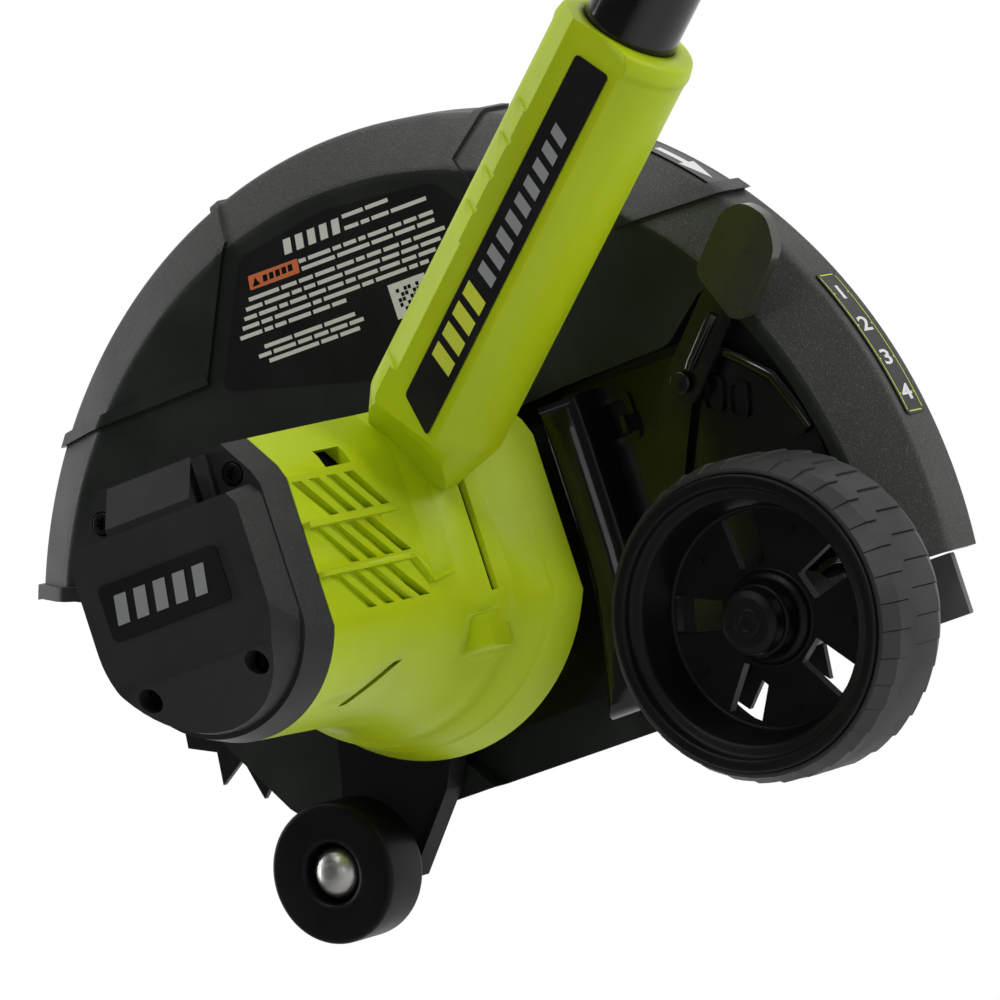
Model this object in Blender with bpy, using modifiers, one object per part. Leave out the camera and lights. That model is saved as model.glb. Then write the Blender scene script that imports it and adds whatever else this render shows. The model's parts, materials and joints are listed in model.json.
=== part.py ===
"""Battery lawn edger: motor head, half-round blade guard, two wheels, shaft and handles.

Frame: +Z up, +X towards the user (rear), -Y the motor side. The origin is the centre of the
spindle's free end face, on the blade's axis. Lengths are metres.
"""
import math

import bmesh
import bpy
from mathutils import Matrix, Vector

# ---- driving dimensions -------------------------------------------------------------------
GAP = 0.0003                # clearance left between neighbouring pieces
BLADE_D = 0.2286            # 9 inch blade
BLADE_T = 0.002
BLADE_Y = -0.009            # middle of the blade's thickness
GUARD_R = 0.1546            # guard's rim
GUARD_FACE_R = 0.139        # where the bevel meets the flat face
FACE_Y = -0.030             # guard's flat face
RIM_Y = -0.018              # bevel meets rim
BACK_Y = -0.004             # guard's open back edge
SHELL = 0.003               # guard's wall
RECESS_Y = -0.023           # floor of the recess that the wheel bracket swings in
GUARD_LOW_Z = -0.0372       # guard's lower edge

MOTOR_Z = 0.026             # motor axis above the blade axis = gear centre distance
PINION_TEETH = 14
GEAR_TEETH = 38
MODULE = 2 * MOTOR_Z / (PINION_TEETH + GEAR_TEETH)

BASE_Y = -0.042             # back plane of the gearcase
CASE_Y = -0.052             # front edge of the gearcase flange
SEAM_Y = -0.137             # joint between housing and end cap
LEDGE_Y = -0.148            # end cap's screw ledge
CAP_Y = -0.160              # end cap's face
WALL = 0.0028

PLATE_Y = -0.0262           # middle of the wheel bracket's plate
PLATE_T = 0.0024
NOSE_R = 0.017              # gearcase nose that carries the wheel bracket
WHEEL_X = 0.1235
WHEEL_Z = -0.0200
WHEEL_R = 0.0445            # 3.5 inch wheel
WHEEL_FRONT_Y = -0.086
WHEEL_BACK_Y = -0.051
SMALL_X = -0.0460
SMALL_Z = -0.0465
SMALL_R = 0.0203
SMALL_FRONT_Y = -0.0605
SMALL_BACK_Y = -0.0430

SHAFT_ANGLE = math.radians(39.0)
SHAFT_Y = -0.078            # the shaft's plane
BOSS_R = 0.0200
BOSS_END = 0.184            # collar, measured along the shaft from the motor axis
TUBE_R = 0.0135
COUPLER_S = 0.640
HANDLE_S = 1.150
BATTERY_S = 1.395
BATTERY_TOP = -0.0286       # battery's top face, square to the shaft

LIME = ((0.42, 0.56, 0.012), 0.42, 0.0)
CHARCOAL = ((0.022, 0.023, 0.023), 0.55, 0.0)
GUARD_GREEN = ((0.024, 0.030, 0.026), 0.40, 0.0)
BLACK_PLASTIC = ((0.012, 0.012, 0.013), 0.45, 0.0)
BLACK_STEEL = ((0.010, 0.010, 0.011), 0.22, 0.6)
BLADE_STEEL = ((0.020, 0.020, 0.021), 0.40, 0.8)
STEEL = ((0.55, 0.55, 0.56), 0.28, 1.0)
BRASS = ((0.62, 0.47, 0.22), 0.35, 1.0)
ALUMINIUM = ((0.60, 0.61, 0.62), 0.45, 1.0)
RUBBER = ((0.014, 0.014, 0.014), 0.80, 0.0)
LABEL = ((0.010, 0.011, 0.012), 0.25, 0.0)
OLIVE = ((0.040, 0.045, 0.028), 0.30, 0.0)

for old in list(bpy.data.objects):
    bpy.data.objects.remove(old, do_unlink=True)

parts = bpy.data.collections.new("lawn_edger")
bpy.context.scene.collection.children.link(parts)

# Local X of this empty runs up the shaft, local Z is square to it, local Y is the frame's Y.
shaft_frame = bpy.data.objects.new("shaft_frame", None)
parts.objects.link(shaft_frame)
shaft_frame.location = (0.0, SHAFT_Y, MOTOR_Z)
shaft_frame.rotation_euler = (0.0, -SHAFT_ANGLE, 0.0)


# ---- tools --------------------------------------------------------------------------------
def material(name, look):
    """Principled material of one colour, roughness and metallic value."""
    colour, roughness, metallic = look
    mat = bpy.data.materials.new(name)
    mat.use_nodes = True
    shader = mat.node_tree.nodes["Principled BSDF"]
    shader.inputs["Base Color"].default_value = (*colour, 1.0)
    shader.inputs["Roughness"].default_value = roughness
    shader.inputs["Metallic"].default_value = metallic
    return mat


def add(name, data, look=None, parent=None, origin=(0, 0, 0)):
    """Link a new object; `origin` is its place in its parent's frame."""
    obj = bpy.data.objects.new(name, data)
    parts.objects.link(obj)
    obj.location = origin
    obj.parent = parent
    if look:
        obj.data.materials.clear()
        obj.data.materials.append(material(name, look))
    return obj


def bake(obj):
    """Turn an object's modifiers, or a curve, into a welded mesh with outward faces."""
    bpy.context.view_layer.update()
    graph = bpy.context.evaluated_depsgraph_get()
    mesh = bpy.data.meshes.new_from_object(obj.evaluated_get(graph))
    bm = bmesh.new()
    bm.from_mesh(mesh)
    bmesh.ops.remove_doubles(bm, verts=bm.verts, dist=2e-6)
    bmesh.ops.dissolve_degenerate(bm, edges=bm.edges, dist=1e-6)
    bmesh.ops.recalc_face_normals(bm, faces=bm.faces)
    bm.to_mesh(mesh)
    bm.free()
    mesh.materials.clear()
    for mat in obj.data.materials:
        mesh.materials.append(mat)
    if obj.type == "MESH":
        obj.modifiers.clear()
        obj.data = mesh
        return obj
    solid = bpy.data.objects.new(obj.name, mesh)
    solid.location, solid.rotation_euler, solid.parent = obj.location, obj.rotation_euler, obj.parent
    parts.objects.link(solid)
    name = obj.name
    bpy.data.objects.remove(obj, do_unlink=True)
    solid.name = name
    return solid


def smooth(obj, angle=35):
    """Shade round faces smooth and keep real edges sharp."""
    obj.data.shade_smooth()
    obj.data.set_sharp_from_angle(angle=math.radians(angle))
    return obj


def lathe(name, profile, look=None, parent=None, origin=(0, 0, 0), along="Y", steps=32):
    """Turn a closed profile of (radius, height) points; height runs along +Y or +X."""
    mesh = bpy.data.meshes.new(name)
    on_axis = min(r for r, _ in profile) < 1e-9
    count = len(profile)
    edges = [(i, (i + 1) % count) for i in range(count)]
    if on_axis:
        edges = edges[:-1]
    mesh.from_pydata([(r, 0, h) for r, h in profile], edges, [])
    obj = add(name, mesh, look, parent, origin)
    screw = obj.modifiers.new("turn", "SCREW")
    screw.axis = "Z"
    screw.steps = steps
    screw.render_steps = steps
    screw.use_merge_vertices = True
    screw.merge_threshold = 1e-5
    bake(obj)
    turn = Matrix.Rotation(math.radians(-90), 4, "X") if along == "Y" else Matrix.Rotation(math.radians(90), 4, "Y")
    if along != "Z":
        obj.data.transform(turn)
    return smooth(obj)


def disc(name, radius, low, high, look=None, parent=None, origin=(0, 0, 0), along="Y", steps=24):
    """Solid cylinder from `low` to `high` along its axis."""
    profile = [(0, low), (radius, low), (radius, high), (0, high)]
    return lathe(name, profile, look, parent, origin, along, steps)


def ring(name, inner, outer, low, high, look=None, parent=None, origin=(0, 0, 0), along="Y", steps=24):
    """Washer or bush."""
    profile = [(inner, low), (outer, low), (outer, high), (inner, high)]
    return lathe(name, profile, look, parent, origin, along, steps)


def arc(cx, cz, radius, start, end, count):
    """Points on an arc in the XZ plane; angles in degrees from +X towards +Z."""
    step = math.radians(end - start) / (count - 1)
    angles = [math.radians(start) + step * i for i in range(count)]
    return [(cx + radius * math.cos(a), cz + radius * math.sin(a)) for a in angles]


def plate(name, outline, low_y, high_y, look=None, parent=None, origin=(0, 0, 0), holes=()):
    """Flat outline in the XZ plane, with holes, extruded from low_y to high_y."""
    curve = bpy.data.curves.new(name, "CURVE")
    curve.dimensions = "2D"
    curve.fill_mode = "BOTH"
    curve.extrude = (high_y - low_y) / 2
    for loop in [outline, *holes]:
        spline = curve.splines.new("POLY")
        spline.points.add(len(loop) - 1)
        spline.use_cyclic_u = True
        for point, (x, z) in zip(spline.points, loop):
            point.co = (x, z, 0, 1)
    obj = bake(add(name, curve, look, parent, origin))
    obj.data.transform(Matrix.Rotation(math.radians(90), 4, "X"))
    obj.data.transform(Matrix.Translation((0, (low_y + high_y) / 2, 0)))
    return obj


def block(name, size, centre, look=None, parent=None, origin=(0, 0, 0), bevel=0.0):
    """Box of a given size, with rounded edges where asked."""
    bm = bmesh.new()
    bmesh.ops.create_cube(bm, size=1.0, matrix=Matrix.Translation(centre) @ Matrix.Diagonal((*size, 1)))
    mesh = bpy.data.meshes.new(name)
    bm.to_mesh(mesh)
    bm.free()
    obj = add(name, mesh, look, parent, origin)
    return rounded(obj, bevel) if bevel else obj


def rounded(obj, width, segments=2, angle=50):
    """Round the sharp edges."""
    mod = obj.modifiers.new("round", "BEVEL")
    mod.width = width
    mod.segments = segments
    mod.limit_method = "ANGLE"
    mod.angle_limit = math.radians(angle)
    return bake(obj)


def tube_path(name, points, radius, look=None, parent=None, origin=(0, 0, 0), resolution=2):
    """Round bar along a smooth path of hand-placed points."""
    curve = bpy.data.curves.new(name, "CURVE")
    curve.dimensions = "3D"
    curve.bevel_depth = radius
    curve.bevel_resolution = resolution
    curve.use_fill_caps = True
    spline = curve.splines.new("POLY")
    spline.points.add(len(points) - 1)
    for point, place in zip(spline.points, points):
        point.co = (*place, 1)
    return smooth(bake(add(name, curve, look, parent, origin)), 50)


def combine(obj, tool, operation):
    """Boolean with a helper object, which is then removed."""
    mod = obj.modifiers.new("combine", "BOOLEAN")
    mod.operation = operation
    mod.object = tool
    bake(obj)
    bpy.data.objects.remove(tool, do_unlink=True)
    return obj


def cut(obj, tool):
    return combine(obj, tool, "DIFFERENCE")


def join(obj, tool):
    return combine(obj, tool, "UNION")


def loft(name, sections, look=None, parent=None, origin=(0, 0, 0)):
    """Skin through sections of equal point count; each is (y, [(x, z), ...])."""
    bm = bmesh.new()
    rows = [[bm.verts.new((x, y, z)) for x, z in outline] for y, outline in sections]
    count = len(rows[0])
    for near, far in zip(rows, rows[1:]):
        for i in range(count):
            j = (i + 1) % count
            bm.faces.new((near[i], near[j], far[j], far[i]))
    bm.faces.new(rows[0])
    bm.faces.new(rows[-1])
    bmesh.ops.recalc_face_normals(bm, faces=bm.faces)
    mesh = bpy.data.meshes.new(name)
    bm.to_mesh(mesh)
    bm.free()
    return add(name, mesh, look, parent, origin)


# ---- guard --------------------------------------------------------------------------------
def recess_outline(grow):
    """Fan-shaped recess of the guard's face, in front of which the wheel bracket swings."""
    left = arc(0, 0, 0.030 + grow, 250, 110, 9)
    top = [(0.034, 0.0610 + grow), (0.060, 0.0626 + grow), (0.0956, 0.063 + grow), (0.1115, 0.0745 + grow)]
    outer = arc(0, 0, 0.1352 + grow, 27, -12, 6)
    return left + top + outer + [(0.1340 + grow, -0.060), (0.012 - grow, -0.060)]


def guard():
    """Half-round shell: flat face, bevel, rim, open at the back and the bottom."""
    inner = GUARD_R - SHELL
    outer = [(0, FACE_Y), (GUARD_FACE_R, FACE_Y), (GUARD_R, RIM_Y), (GUARD_R + 0.0006, BACK_Y)]
    inside = [(inner + 0.0006, BACK_Y), (inner, RIM_Y + 0.001), (GUARD_FACE_R - 0.0012, FACE_Y + SHELL),
              (0, FACE_Y + SHELL)]
    shell = lathe("guard_shell", outer + inside, GUARD_GREEN, steps=96)
    pad = plate("recess_pad", recess_outline(0.002), FACE_Y + 0.001, RECESS_Y + 0.0025)
    shell = join(shell, pad)
    shell = cut(shell, plate("recess_cut", recess_outline(0), FACE_Y - 0.002, RECESS_Y))
    far = 0.2
    below = [(-far, 0.0994), (-0.1443, 0.0627), (-0.1324, 0.0546), (-0.0882, 0), (-0.0732, -0.0238),
             (-0.0600, GUARD_LOW_Z), (0.0680, GUARD_LOW_Z), (0.0740, -0.0165), (far, -0.0165),
             (far, -far), (-far, -far)]
    shell = cut(shell, plate("below", below, -0.1, 0.1))
    nose_hole = NOSE_R + GAP
    shell = cut(shell, disc("nose_hole", nose_hole, -0.1, 0.1, steps=32))
    for x, z in GUARD_SCREWS:
        stand = disc("stand", 0.0065, BASE_Y + GAP, FACE_Y + 0.001, origin=(x, 0, z), steps=16)
        shell = join(shell, stand)
        shell = cut(shell, disc("bore", 0.0026, -0.1, 0.1, origin=(x, 0, z), steps=12))
    return smooth(shell, 30)


GUARD_SCREWS = [(-0.040, 0.026), (-0.024, 0.062), (0.022, 0.068)]


def guard_trim():
    """Flap behind the guard, its labels and its screws."""
    flap = [(0.1280, -0.0345), (0.1502, -0.0345), (0.1502, -0.0168), (0.1280, -0.0168)]
    plate("rear_flap", flap, -0.0122, -0.0100, RUBBER)
    info = [(-0.051, 0.097), (0.041, 0.073), (0.052, 0.092), (0.0387, 0.1301), (-0.0314, 0.1295)]
    plate("info_label", info, FACE_Y - 0.0008, FACE_Y - 0.00005, LABEL)
    for name, start, end in (("depth_scale_label", 27.0, 8.4), ("arrow_label", 50.5, 40.6)):
        low, high = RIM_Y + 0.0016, BACK_Y - 0.0022
        strip = ring(name, GUARD_R + 0.0009, GUARD_R + 0.0016, low, high, LABEL, steps=96)
        reach = 0.3
        wedge = [(0, 0), *arc(0, 0, reach, end, start, 3)]
        combine(strip, plate("wedge", wedge, -0.1, 0.1), "INTERSECT")
    for i, (x, z) in enumerate(GUARD_SCREWS):
        head = FACE_Y + SHELL + GAP
        profile = [(0, head - 0.018), (0.0021, head - 0.018), (0.0021, head), (0.0044, head),
                   (0.0044, head + 0.0024), (0, head + 0.0024)]
        lathe(f"guard_screw_{i + 1}", profile, STEEL, origin=(x, 0, z), steps=12)


# ---- motor housing ------------------------------------------------------------------------
def barrel_section(half, radius, low, top, chamfer):
    """Round-bottomed outline: half width, bottom radius, lowest point, flat top, chamfered corners."""
    centre = low + radius
    start = math.degrees(math.acos(half / radius))
    bottom = arc(0, centre, radius, -start, start - 180, 13)
    middle = (bottom[0][1] + top - chamfer) / 2
    roof = [(-half, top - chamfer), (-half + chamfer * 0.6, top), (0, top), (half - chamfer * 0.6, top),
            (half, top - chamfer)]
    return bottom + [(-half, middle)] + roof + [(half, middle)]


def housing_sections(inset):
    """Outline of the housing at each station; `inset` shrinks it for the hollow."""
    stations = [(SEAM_Y, 0.0320, 0.0340, -0.0085, 0.0700, 0.014), (-0.100, 0.0335, 0.0350, -0.0095, 0.0705, 0.014),
                (-0.074, 0.0370, 0.0380, -0.0130, 0.0705, 0.014), (-0.062, 0.0450, 0.0480, -0.0190, 0.0690, 0.014),
                (CASE_Y, 0.0500, 0.0540, -0.0225, 0.0680, 0.016), (BASE_Y, 0.0520, 0.0575, -0.0265, 0.0680, 0.016)]
    return [(y, barrel_section(half - inset, radius - inset, low + inset, top - inset, chamfer))
            for y, half, radius, low, top, chamfer in stations]


def motor_housing():
    """Hollow lime shell: motor barrel, gearcase and shaft boss in one moulding."""
    shell = loft("motor_housing", housing_sections(0), LIME)
    profile = [(0, 0.030), (0.017, 0.040), (BOSS_R, 0.054), (BOSS_R, BOSS_END - 0.004), (BOSS_R - 0.003, BOSS_END), (0, BOSS_END)]
    outer = lathe("boss", profile, parent=shaft_frame, along="X", steps=24)
    shell = join(shell, outer)
    hollow_stations = housing_sections(WALL)
    first, last = hollow_stations[0], hollow_stations[-1]
    hollow_stations[0] = (first[0] - 0.01, first[1])
    hollow_stations[-1] = (last[0] - WALL, last[1])
    shell = cut(shell, loft("hollow", hollow_stations))
    nose = disc("nose", NOSE_R, BASE_Y - 0.001, FACE_Y + 0.012, steps=32)
    shell = join(shell, nose)
    shell = cut(shell, disc("spindle_bore", 0.0102, -0.1, 0.1, steps=24))
    shell = cut(shell, disc("tube_bore", TUBE_R + GAP, 0.080, 0.3, parent=shaft_frame, along="X", steps=24))
    for x, z in GUARD_SCREWS:
        shell = cut(shell, disc("pilot", 0.0024, BASE_Y - 0.02, 0.0, origin=(x, 0, z), steps=10))
    flat = [(0.058, -0.05), (0.3, -0.05), (0.3, 0.05), (0.058, 0.05)]
    shell = cut(shell, plate("decal_flat", flat, -0.03, -0.0165, parent=shaft_frame))
    return smooth(shell, 30)


def end_cap():
    """Charcoal cap with a raised face, an upper ledge and four screw holes."""
    rim = barrel_section(0.0320, 0.0340, -0.0085, 0.0700, 0.014)
    face = barrel_section(0.0292, 0.0292, -0.0020, 0.0560, 0.004)
    seam = SEAM_Y - GAP
    base = loft("end_cap", [(LEDGE_Y, barrel_section(0.0305, 0.0315, -0.0062, 0.0700, 0.014)), (seam, rim)], CHARCOAL)
    body = loft("cap_body", [(CAP_Y, face), (LEDGE_Y + 0.004, barrel_section(0.0303, 0.0311, -0.0058, 0.0575, 0.004))])
    base = join(base, body)
    base = join(base, block("bridge", (0.026, 0.009, 0.014), (-0.0045, LEDGE_Y - 0.003, 0.0625)))
    inner = barrel_section(0.0320 - WALL, 0.0340 - WALL, -0.0085 + WALL, 0.0700 - WALL, 0.013)
    core = barrel_section(0.0290 - WALL, 0.0290 - WALL, 0.0012, 0.0535, 0.004)
    cavity = loft("cap_cavity", [(CAP_Y + 0.006, core), (LEDGE_Y + 0.003, core), (LEDGE_Y + 0.004, inner), (0, inner)])
    base = cut(base, cavity)
    for x, z, top in CAP_SCREWS:
        base = cut(base, disc("head_hole", 0.0034, CAP_Y - 0.01, top, origin=(x, 0, z), steps=16))
    return smooth(base, 30)


CAP_SCREWS = [(-0.0185, 0.0104, CAP_Y + 0.010), (0.0185, 0.0104, CAP_Y + 0.010),
              (-0.0228, 0.0612, LEDGE_Y + 0.002), (0.0228, 0.0612, LEDGE_Y + 0.002)]


def housing_trim():
    """Plain badge, decal strip and the cap's four screws."""
    badge = [(-0.0226, 0.0285), (0.0188, 0.0285), (0.0188, 0.0442), (-0.0226, 0.0442)]
    plate("cap_badge", badge, CAP_Y - 0.0008, CAP_Y - 0.00005, LABEL)
    strip = [(0.0600, -0.0085), (0.0660, 0.0030), (0.1760, 0.0030), (0.1760, -0.0085)]
    plate("housing_decal", strip, -0.0172, -0.01655, LABEL, parent=shaft_frame)
    for i, (x, z, top) in enumerate(CAP_SCREWS):
        head = top - 0.0003
        profile = [(0, head - 0.0022), (0.0031, head - 0.0022), (0.0031, head), (0, head)]
        lathe(f"cap_screw_{i + 1}", profile, STEEL, origin=(x, 0, z), steps=12)


# ---- drive --------------------------------------------------------------------------------
def gear_outline(teeth, phase):
    """Trapezoid teeth on the pitch circle; each point follows from the tooth's number."""
    pitch = MODULE * teeth / 2
    tip, root = pitch + 0.75 * MODULE, pitch - 1.15 * MODULE
    step = 2 * math.pi / teeth
    points = []
    for i in range(teeth):
        for share, radius in ((-0.30, root), (-0.10, tip), (0.10, tip), (0.30, root)):
            angle = phase + (i + share) * step
            points.append((radius * math.cos(angle), radius * math.sin(angle)))
    return points


def round_hole(radius, count=16):
    return arc(0, 0, radius, 0, 360 - 360 / count, count)


def drive():
    """Motor, reduction gears, spindle and blade clamp."""
    ring("motor_can", 0.0040, 0.0235, -0.1180, -0.0585, STEEL, origin=(0, 0, MOTOR_Z), steps=32)
    disc("motor_shaft", 0.0025, -0.1290, -0.0448, STEEL, origin=(0, 0, MOTOR_Z), steps=12)
    half_tooth = math.pi / PINION_TEETH
    plate("pinion", gear_outline(PINION_TEETH, -math.pi / 2 + half_tooth), -0.0512, -0.0450, STEEL,
          origin=(0, 0, MOTOR_Z), holes=[round_hole(0.0025 + GAP / 2, 12)])
    plate("drive_gear", gear_outline(GEAR_TEETH, math.pi / 2), -0.0508, -0.0454, BRASS,
          holes=[round_hole(0.0050 + GAP / 2)])
    fan = disc("cooling_fan", 0.0060, -0.1255, -0.1200, BLACK_PLASTIC, origin=(0, 0, MOTOR_Z), steps=16)
    for i in range(8):
        blade = block("vane", (0.0150, 0.0050, 0.0012), (0.0125, -0.1228, 0))
        blade.rotation_euler = (0, math.radians(45 * i), 0)
        blade.location = (0, 0, MOTOR_Z)
        join(fan, blade)
    cut(fan, disc("fan_bore", 0.0025 + GAP / 2, -0.2, 0, origin=(0, 0, MOTOR_Z), steps=12))
    outline = [*arc(0, 0.031, 0.041, 190, 350, 9), (0.036, 0.060), (-0.036, 0.060)]
    holes = [round_hole(0.0093, 16), [(x, z + MOTOR_Z) for x, z in round_hole(0.0042, 12)]]
    plate("gear_plate", outline, -0.0580, -0.0545, ALUMINIUM, holes=holes)
    ring("rear_bearing", 0.0050 + GAP / 2, 0.0090, -0.0578, -0.0530, STEEL)
    ring("front_bearing", 0.0050 + GAP / 2, 0.0100, -0.0400, -0.0280, STEEL)
    spindle = [(0, -0.0578), (0.0050, -0.0578), (0.0050, -0.0066), (0.0040, -0.0062), (0.0040, 0), (0, 0)]
    lathe("spindle", spindle, STEEL, steps=16)
    flange = [(0.0052, -0.0165), (0.0085, -0.0165), (0.0170, -0.0130), (0.0170, -0.0103), (0.0052, -0.0103)]
    lathe("inner_flange", flange, STEEL, steps=24)
    ring("outer_washer", 0.0052, 0.0150, -0.0077, -0.0062, STEEL)
    hexagon = arc(0, 0, 0.0082, 0, 300, 6)
    plate("blade_nut", hexagon, -0.0059, -0.0012, STEEL, holes=[round_hole(0.0042)])


def blade():
    """Reversible bar blade with toothed corners, parked nearly level."""
    half = BLADE_D / 2
    corner = [(half, 0.0120), (0.1045, 0.0146), (0.1045, 0.0245), (0.0960, 0.0180), (0.0910, 0.0305),
              (0.0830, 0.0215), (0.0770, 0.0290), (0.0700, 0.0230)]
    end = corner[::-1] + [(u, -v) for u, v in corner]
    outline = [(u, -v) for u, v in end] + [(-u, v) for u, v in end]
    bar = plate("blade", outline, BLADE_Y - BLADE_T / 2, BLADE_Y + BLADE_T / 2, BLADE_STEEL,
                holes=[round_hole(0.0052)])
    bar.data.transform(Matrix.Rotation(math.radians(8), 4, "Y"))
    return bar


# ---- wheels -------------------------------------------------------------------------------
RIDGE_Y = -0.0407


def ridge_outline(inset):
    """Outline of the bracket's pressed ridge, from its centre line and half width."""
    line = [(0.0598, 0.0592, 0.0076), (0.0599, 0.0400, 0.0076), (0.0599, 0.0150, 0.0076), (0.0575, -0.0060, 0.0079),
            (0.0535, -0.0220, 0.0076), (0.0500, -0.0310, 0.0062)]
    line[0] = (line[0][0], line[0][1] - inset, line[0][2])
    line[-1] = (line[-1][0], line[-1][1] + inset, line[-1][2])
    left = [(x - half + inset, z) for x, z, half in line]
    right = [(x + half - inset, z) for x, z, half in reversed(line)]
    return left + right


def wheel_bracket():
    """Stamped plate on the gearcase nose, with a pressed ridge on its left and a rear rib."""
    outline = [*arc(0, 0, 0.0245, 60, 270, 10), (0.0120, -0.0235), (0.0400, -0.0230), (0.0520, -0.0350),
               (0.0620, -0.0395), (0.0700, -0.0360), (0.0770, -0.0275), (0.1050, -0.0255),
               *arc(WHEEL_X, WHEEL_Z, 0.0094, 235, 370, 7),
               (0.1310, 0.0270), (0.1240, 0.0450), (0.1060, 0.0600), (0.0530, 0.0600), (0.0500, 0.0400),
               (0.0300, 0.0240)]
    square = [(0.0675, 0.0435), (0.0755, 0.0435), (0.0755, 0.0535), (0.0675, 0.0535)]
    axle = [(x + WHEEL_X, z + WHEEL_Z) for x, z in round_hole(0.0042, 12)]
    pin = [(x + LEVER_PIN[0], z + LEVER_PIN[1]) for x, z in round_hole(0.0019, 10)]
    body = plate("wheel_bracket", outline, PLATE_Y - PLATE_T / 2, PLATE_Y + PLATE_T / 2, BLACK_STEEL,
                 holes=[round_hole(NOSE_R + GAP, 24), square, axle, pin])
    depths = [(RIDGE_Y, 0.0026), (RIDGE_Y + 0.0009, 0.0009), (RIDGE_Y + 0.0026, 0.0), (PLATE_Y - PLATE_T / 2 + 0.0005, 0.0)]
    join(body, loft("ridge", [(y, ridge_outline(inset)) for y, inset in depths]))
    rib = [(0.0860, -0.0285, 0.0350), (0.0840, -0.0290, 0.0240), (0.0850, -0.0285, 0.0080)]
    join(body, tube_path("rib", rib, 0.0032))
    return smooth(body, 30)


LEVER_PIN = (0.0980, 0.0515)


def depth_lever():
    """Spring-steel strip pinned to the bracket, its plastic paddle, pin and coil spring."""
    angle = math.radians(43)
    turn = Matrix.Rotation(-angle, 4, "Y")
    base = (LEVER_PIN[0], 0, LEVER_PIN[1])
    low = PLATE_Y - PLATE_T / 2 - 0.0052
    outline = [(-0.0080, -0.0065), (0.0440, -0.0065), (0.0440, 0.0065), (-0.0080, 0.0065)]
    strip = plate("depth_lever", outline, low, low + 0.0018, BLACK_STEEL, origin=base,
                  holes=[round_hole(0.0026, 10)])
    strip.data.transform(turn)
    paddle = block("lever_grip", (0.0260, 0.0110, 0.0165), (0.0365, low - 0.0034, 0.0), OLIVE, origin=base, bevel=0.003)
    slot = block("slot", (0.0500, 0.0024, 0.0136), (0.0197, low + 0.0009, 0.0), origin=base)
    cut(paddle, slot)
    paddle.data.transform(turn)
    pin = [(0, low - 0.0032), (0.0040, low - 0.0032), (0.0040, low - 0.0010), (0.0016, low - 0.0010),
           (0.0016, PLATE_Y + 0.0020), (0, PLATE_Y + 0.0020)]
    lathe("lever_pin", pin, STEEL, origin=base, steps=12)
    turns, wire, radius = 2.5, 0.0005, 0.0033
    steps = 30
    height = 0.0022
    coil = [(radius * math.cos(2 * math.pi * turns * i / steps), low + 0.0026 + height * i / steps,
             radius * math.sin(2 * math.pi * turns * i / steps)) for i in range(steps + 1)]
    tube_path("lever_spring", coil, wire, STEEL, origin=base, resolution=1)


def rear_wheel():
    """Deep-dished plastic wheel with five windows, its tread ring, axle, nut and hub cap."""
    front, back = WHEEL_FRONT_Y, WHEEL_BACK_Y
    rim_r = WHEEL_R - 0.0040
    web = front + 0.0150
    origin = (WHEEL_X, 0, WHEEL_Z)
    profile = [(0.0046, front + 0.0075), (0.0105, front + 0.0075), (0.0115, web), (0.0300, web),
               (0.0345, front), (rim_r, front), (rim_r, back), (0.0350, back), (0.0335, web + 0.0030),
               (0.0105, web + 0.0030), (0.0105, back + 0.0015), (0.0046, back + 0.0015)]
    wheel = lathe("rear_wheel", profile, BLACK_PLASTIC, origin=origin, steps=48)
    for i in range(5):
        window = block("window", (0.0110, 0.0200, 0.0065), (0.0205, web, 0), origin=origin)
        window.rotation_euler = (0, math.radians(72 * i + 54), 0)
        cut(wheel, window)
    smooth(wheel)
    inner = rim_r + GAP
    tread = [(inner, front + 0.0015), (WHEEL_R - 0.0018, front + 0.0015), (WHEEL_R, front + 0.0060),
             (WHEEL_R, back - 0.0040), (WHEEL_R - 0.0020, back), (inner, back)]
    lathe("rear_tyre", tread, RUBBER, origin=origin, steps=48)
    cap = [(0, front + 0.0020), (0.0070, front + 0.0020), (0.0078, front + 0.0030), (0.0078, front + 0.0072),
           (0, front + 0.0072)]
    lathe("hub_cap", cap, BLACK_PLASTIC, origin=origin, steps=24)
    axle = [(0, front + 0.0080), (0.0040, front + 0.0080), (0.0040, PLATE_Y + 0.0024), (0, PLATE_Y + 0.0024)]
    lathe("rear_axle", axle, STEEL, origin=origin, steps=16)
    nut_low = PLATE_Y - PLATE_T / 2 - GAP
    hexagon = arc(0, 0, 0.0076, 0, 300, 6)
    plate("rear_axle_nut", hexagon, nut_low - 0.0050, nut_low, STEEL, origin=origin,
          holes=[round_hole(0.0042, 12)])


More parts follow.
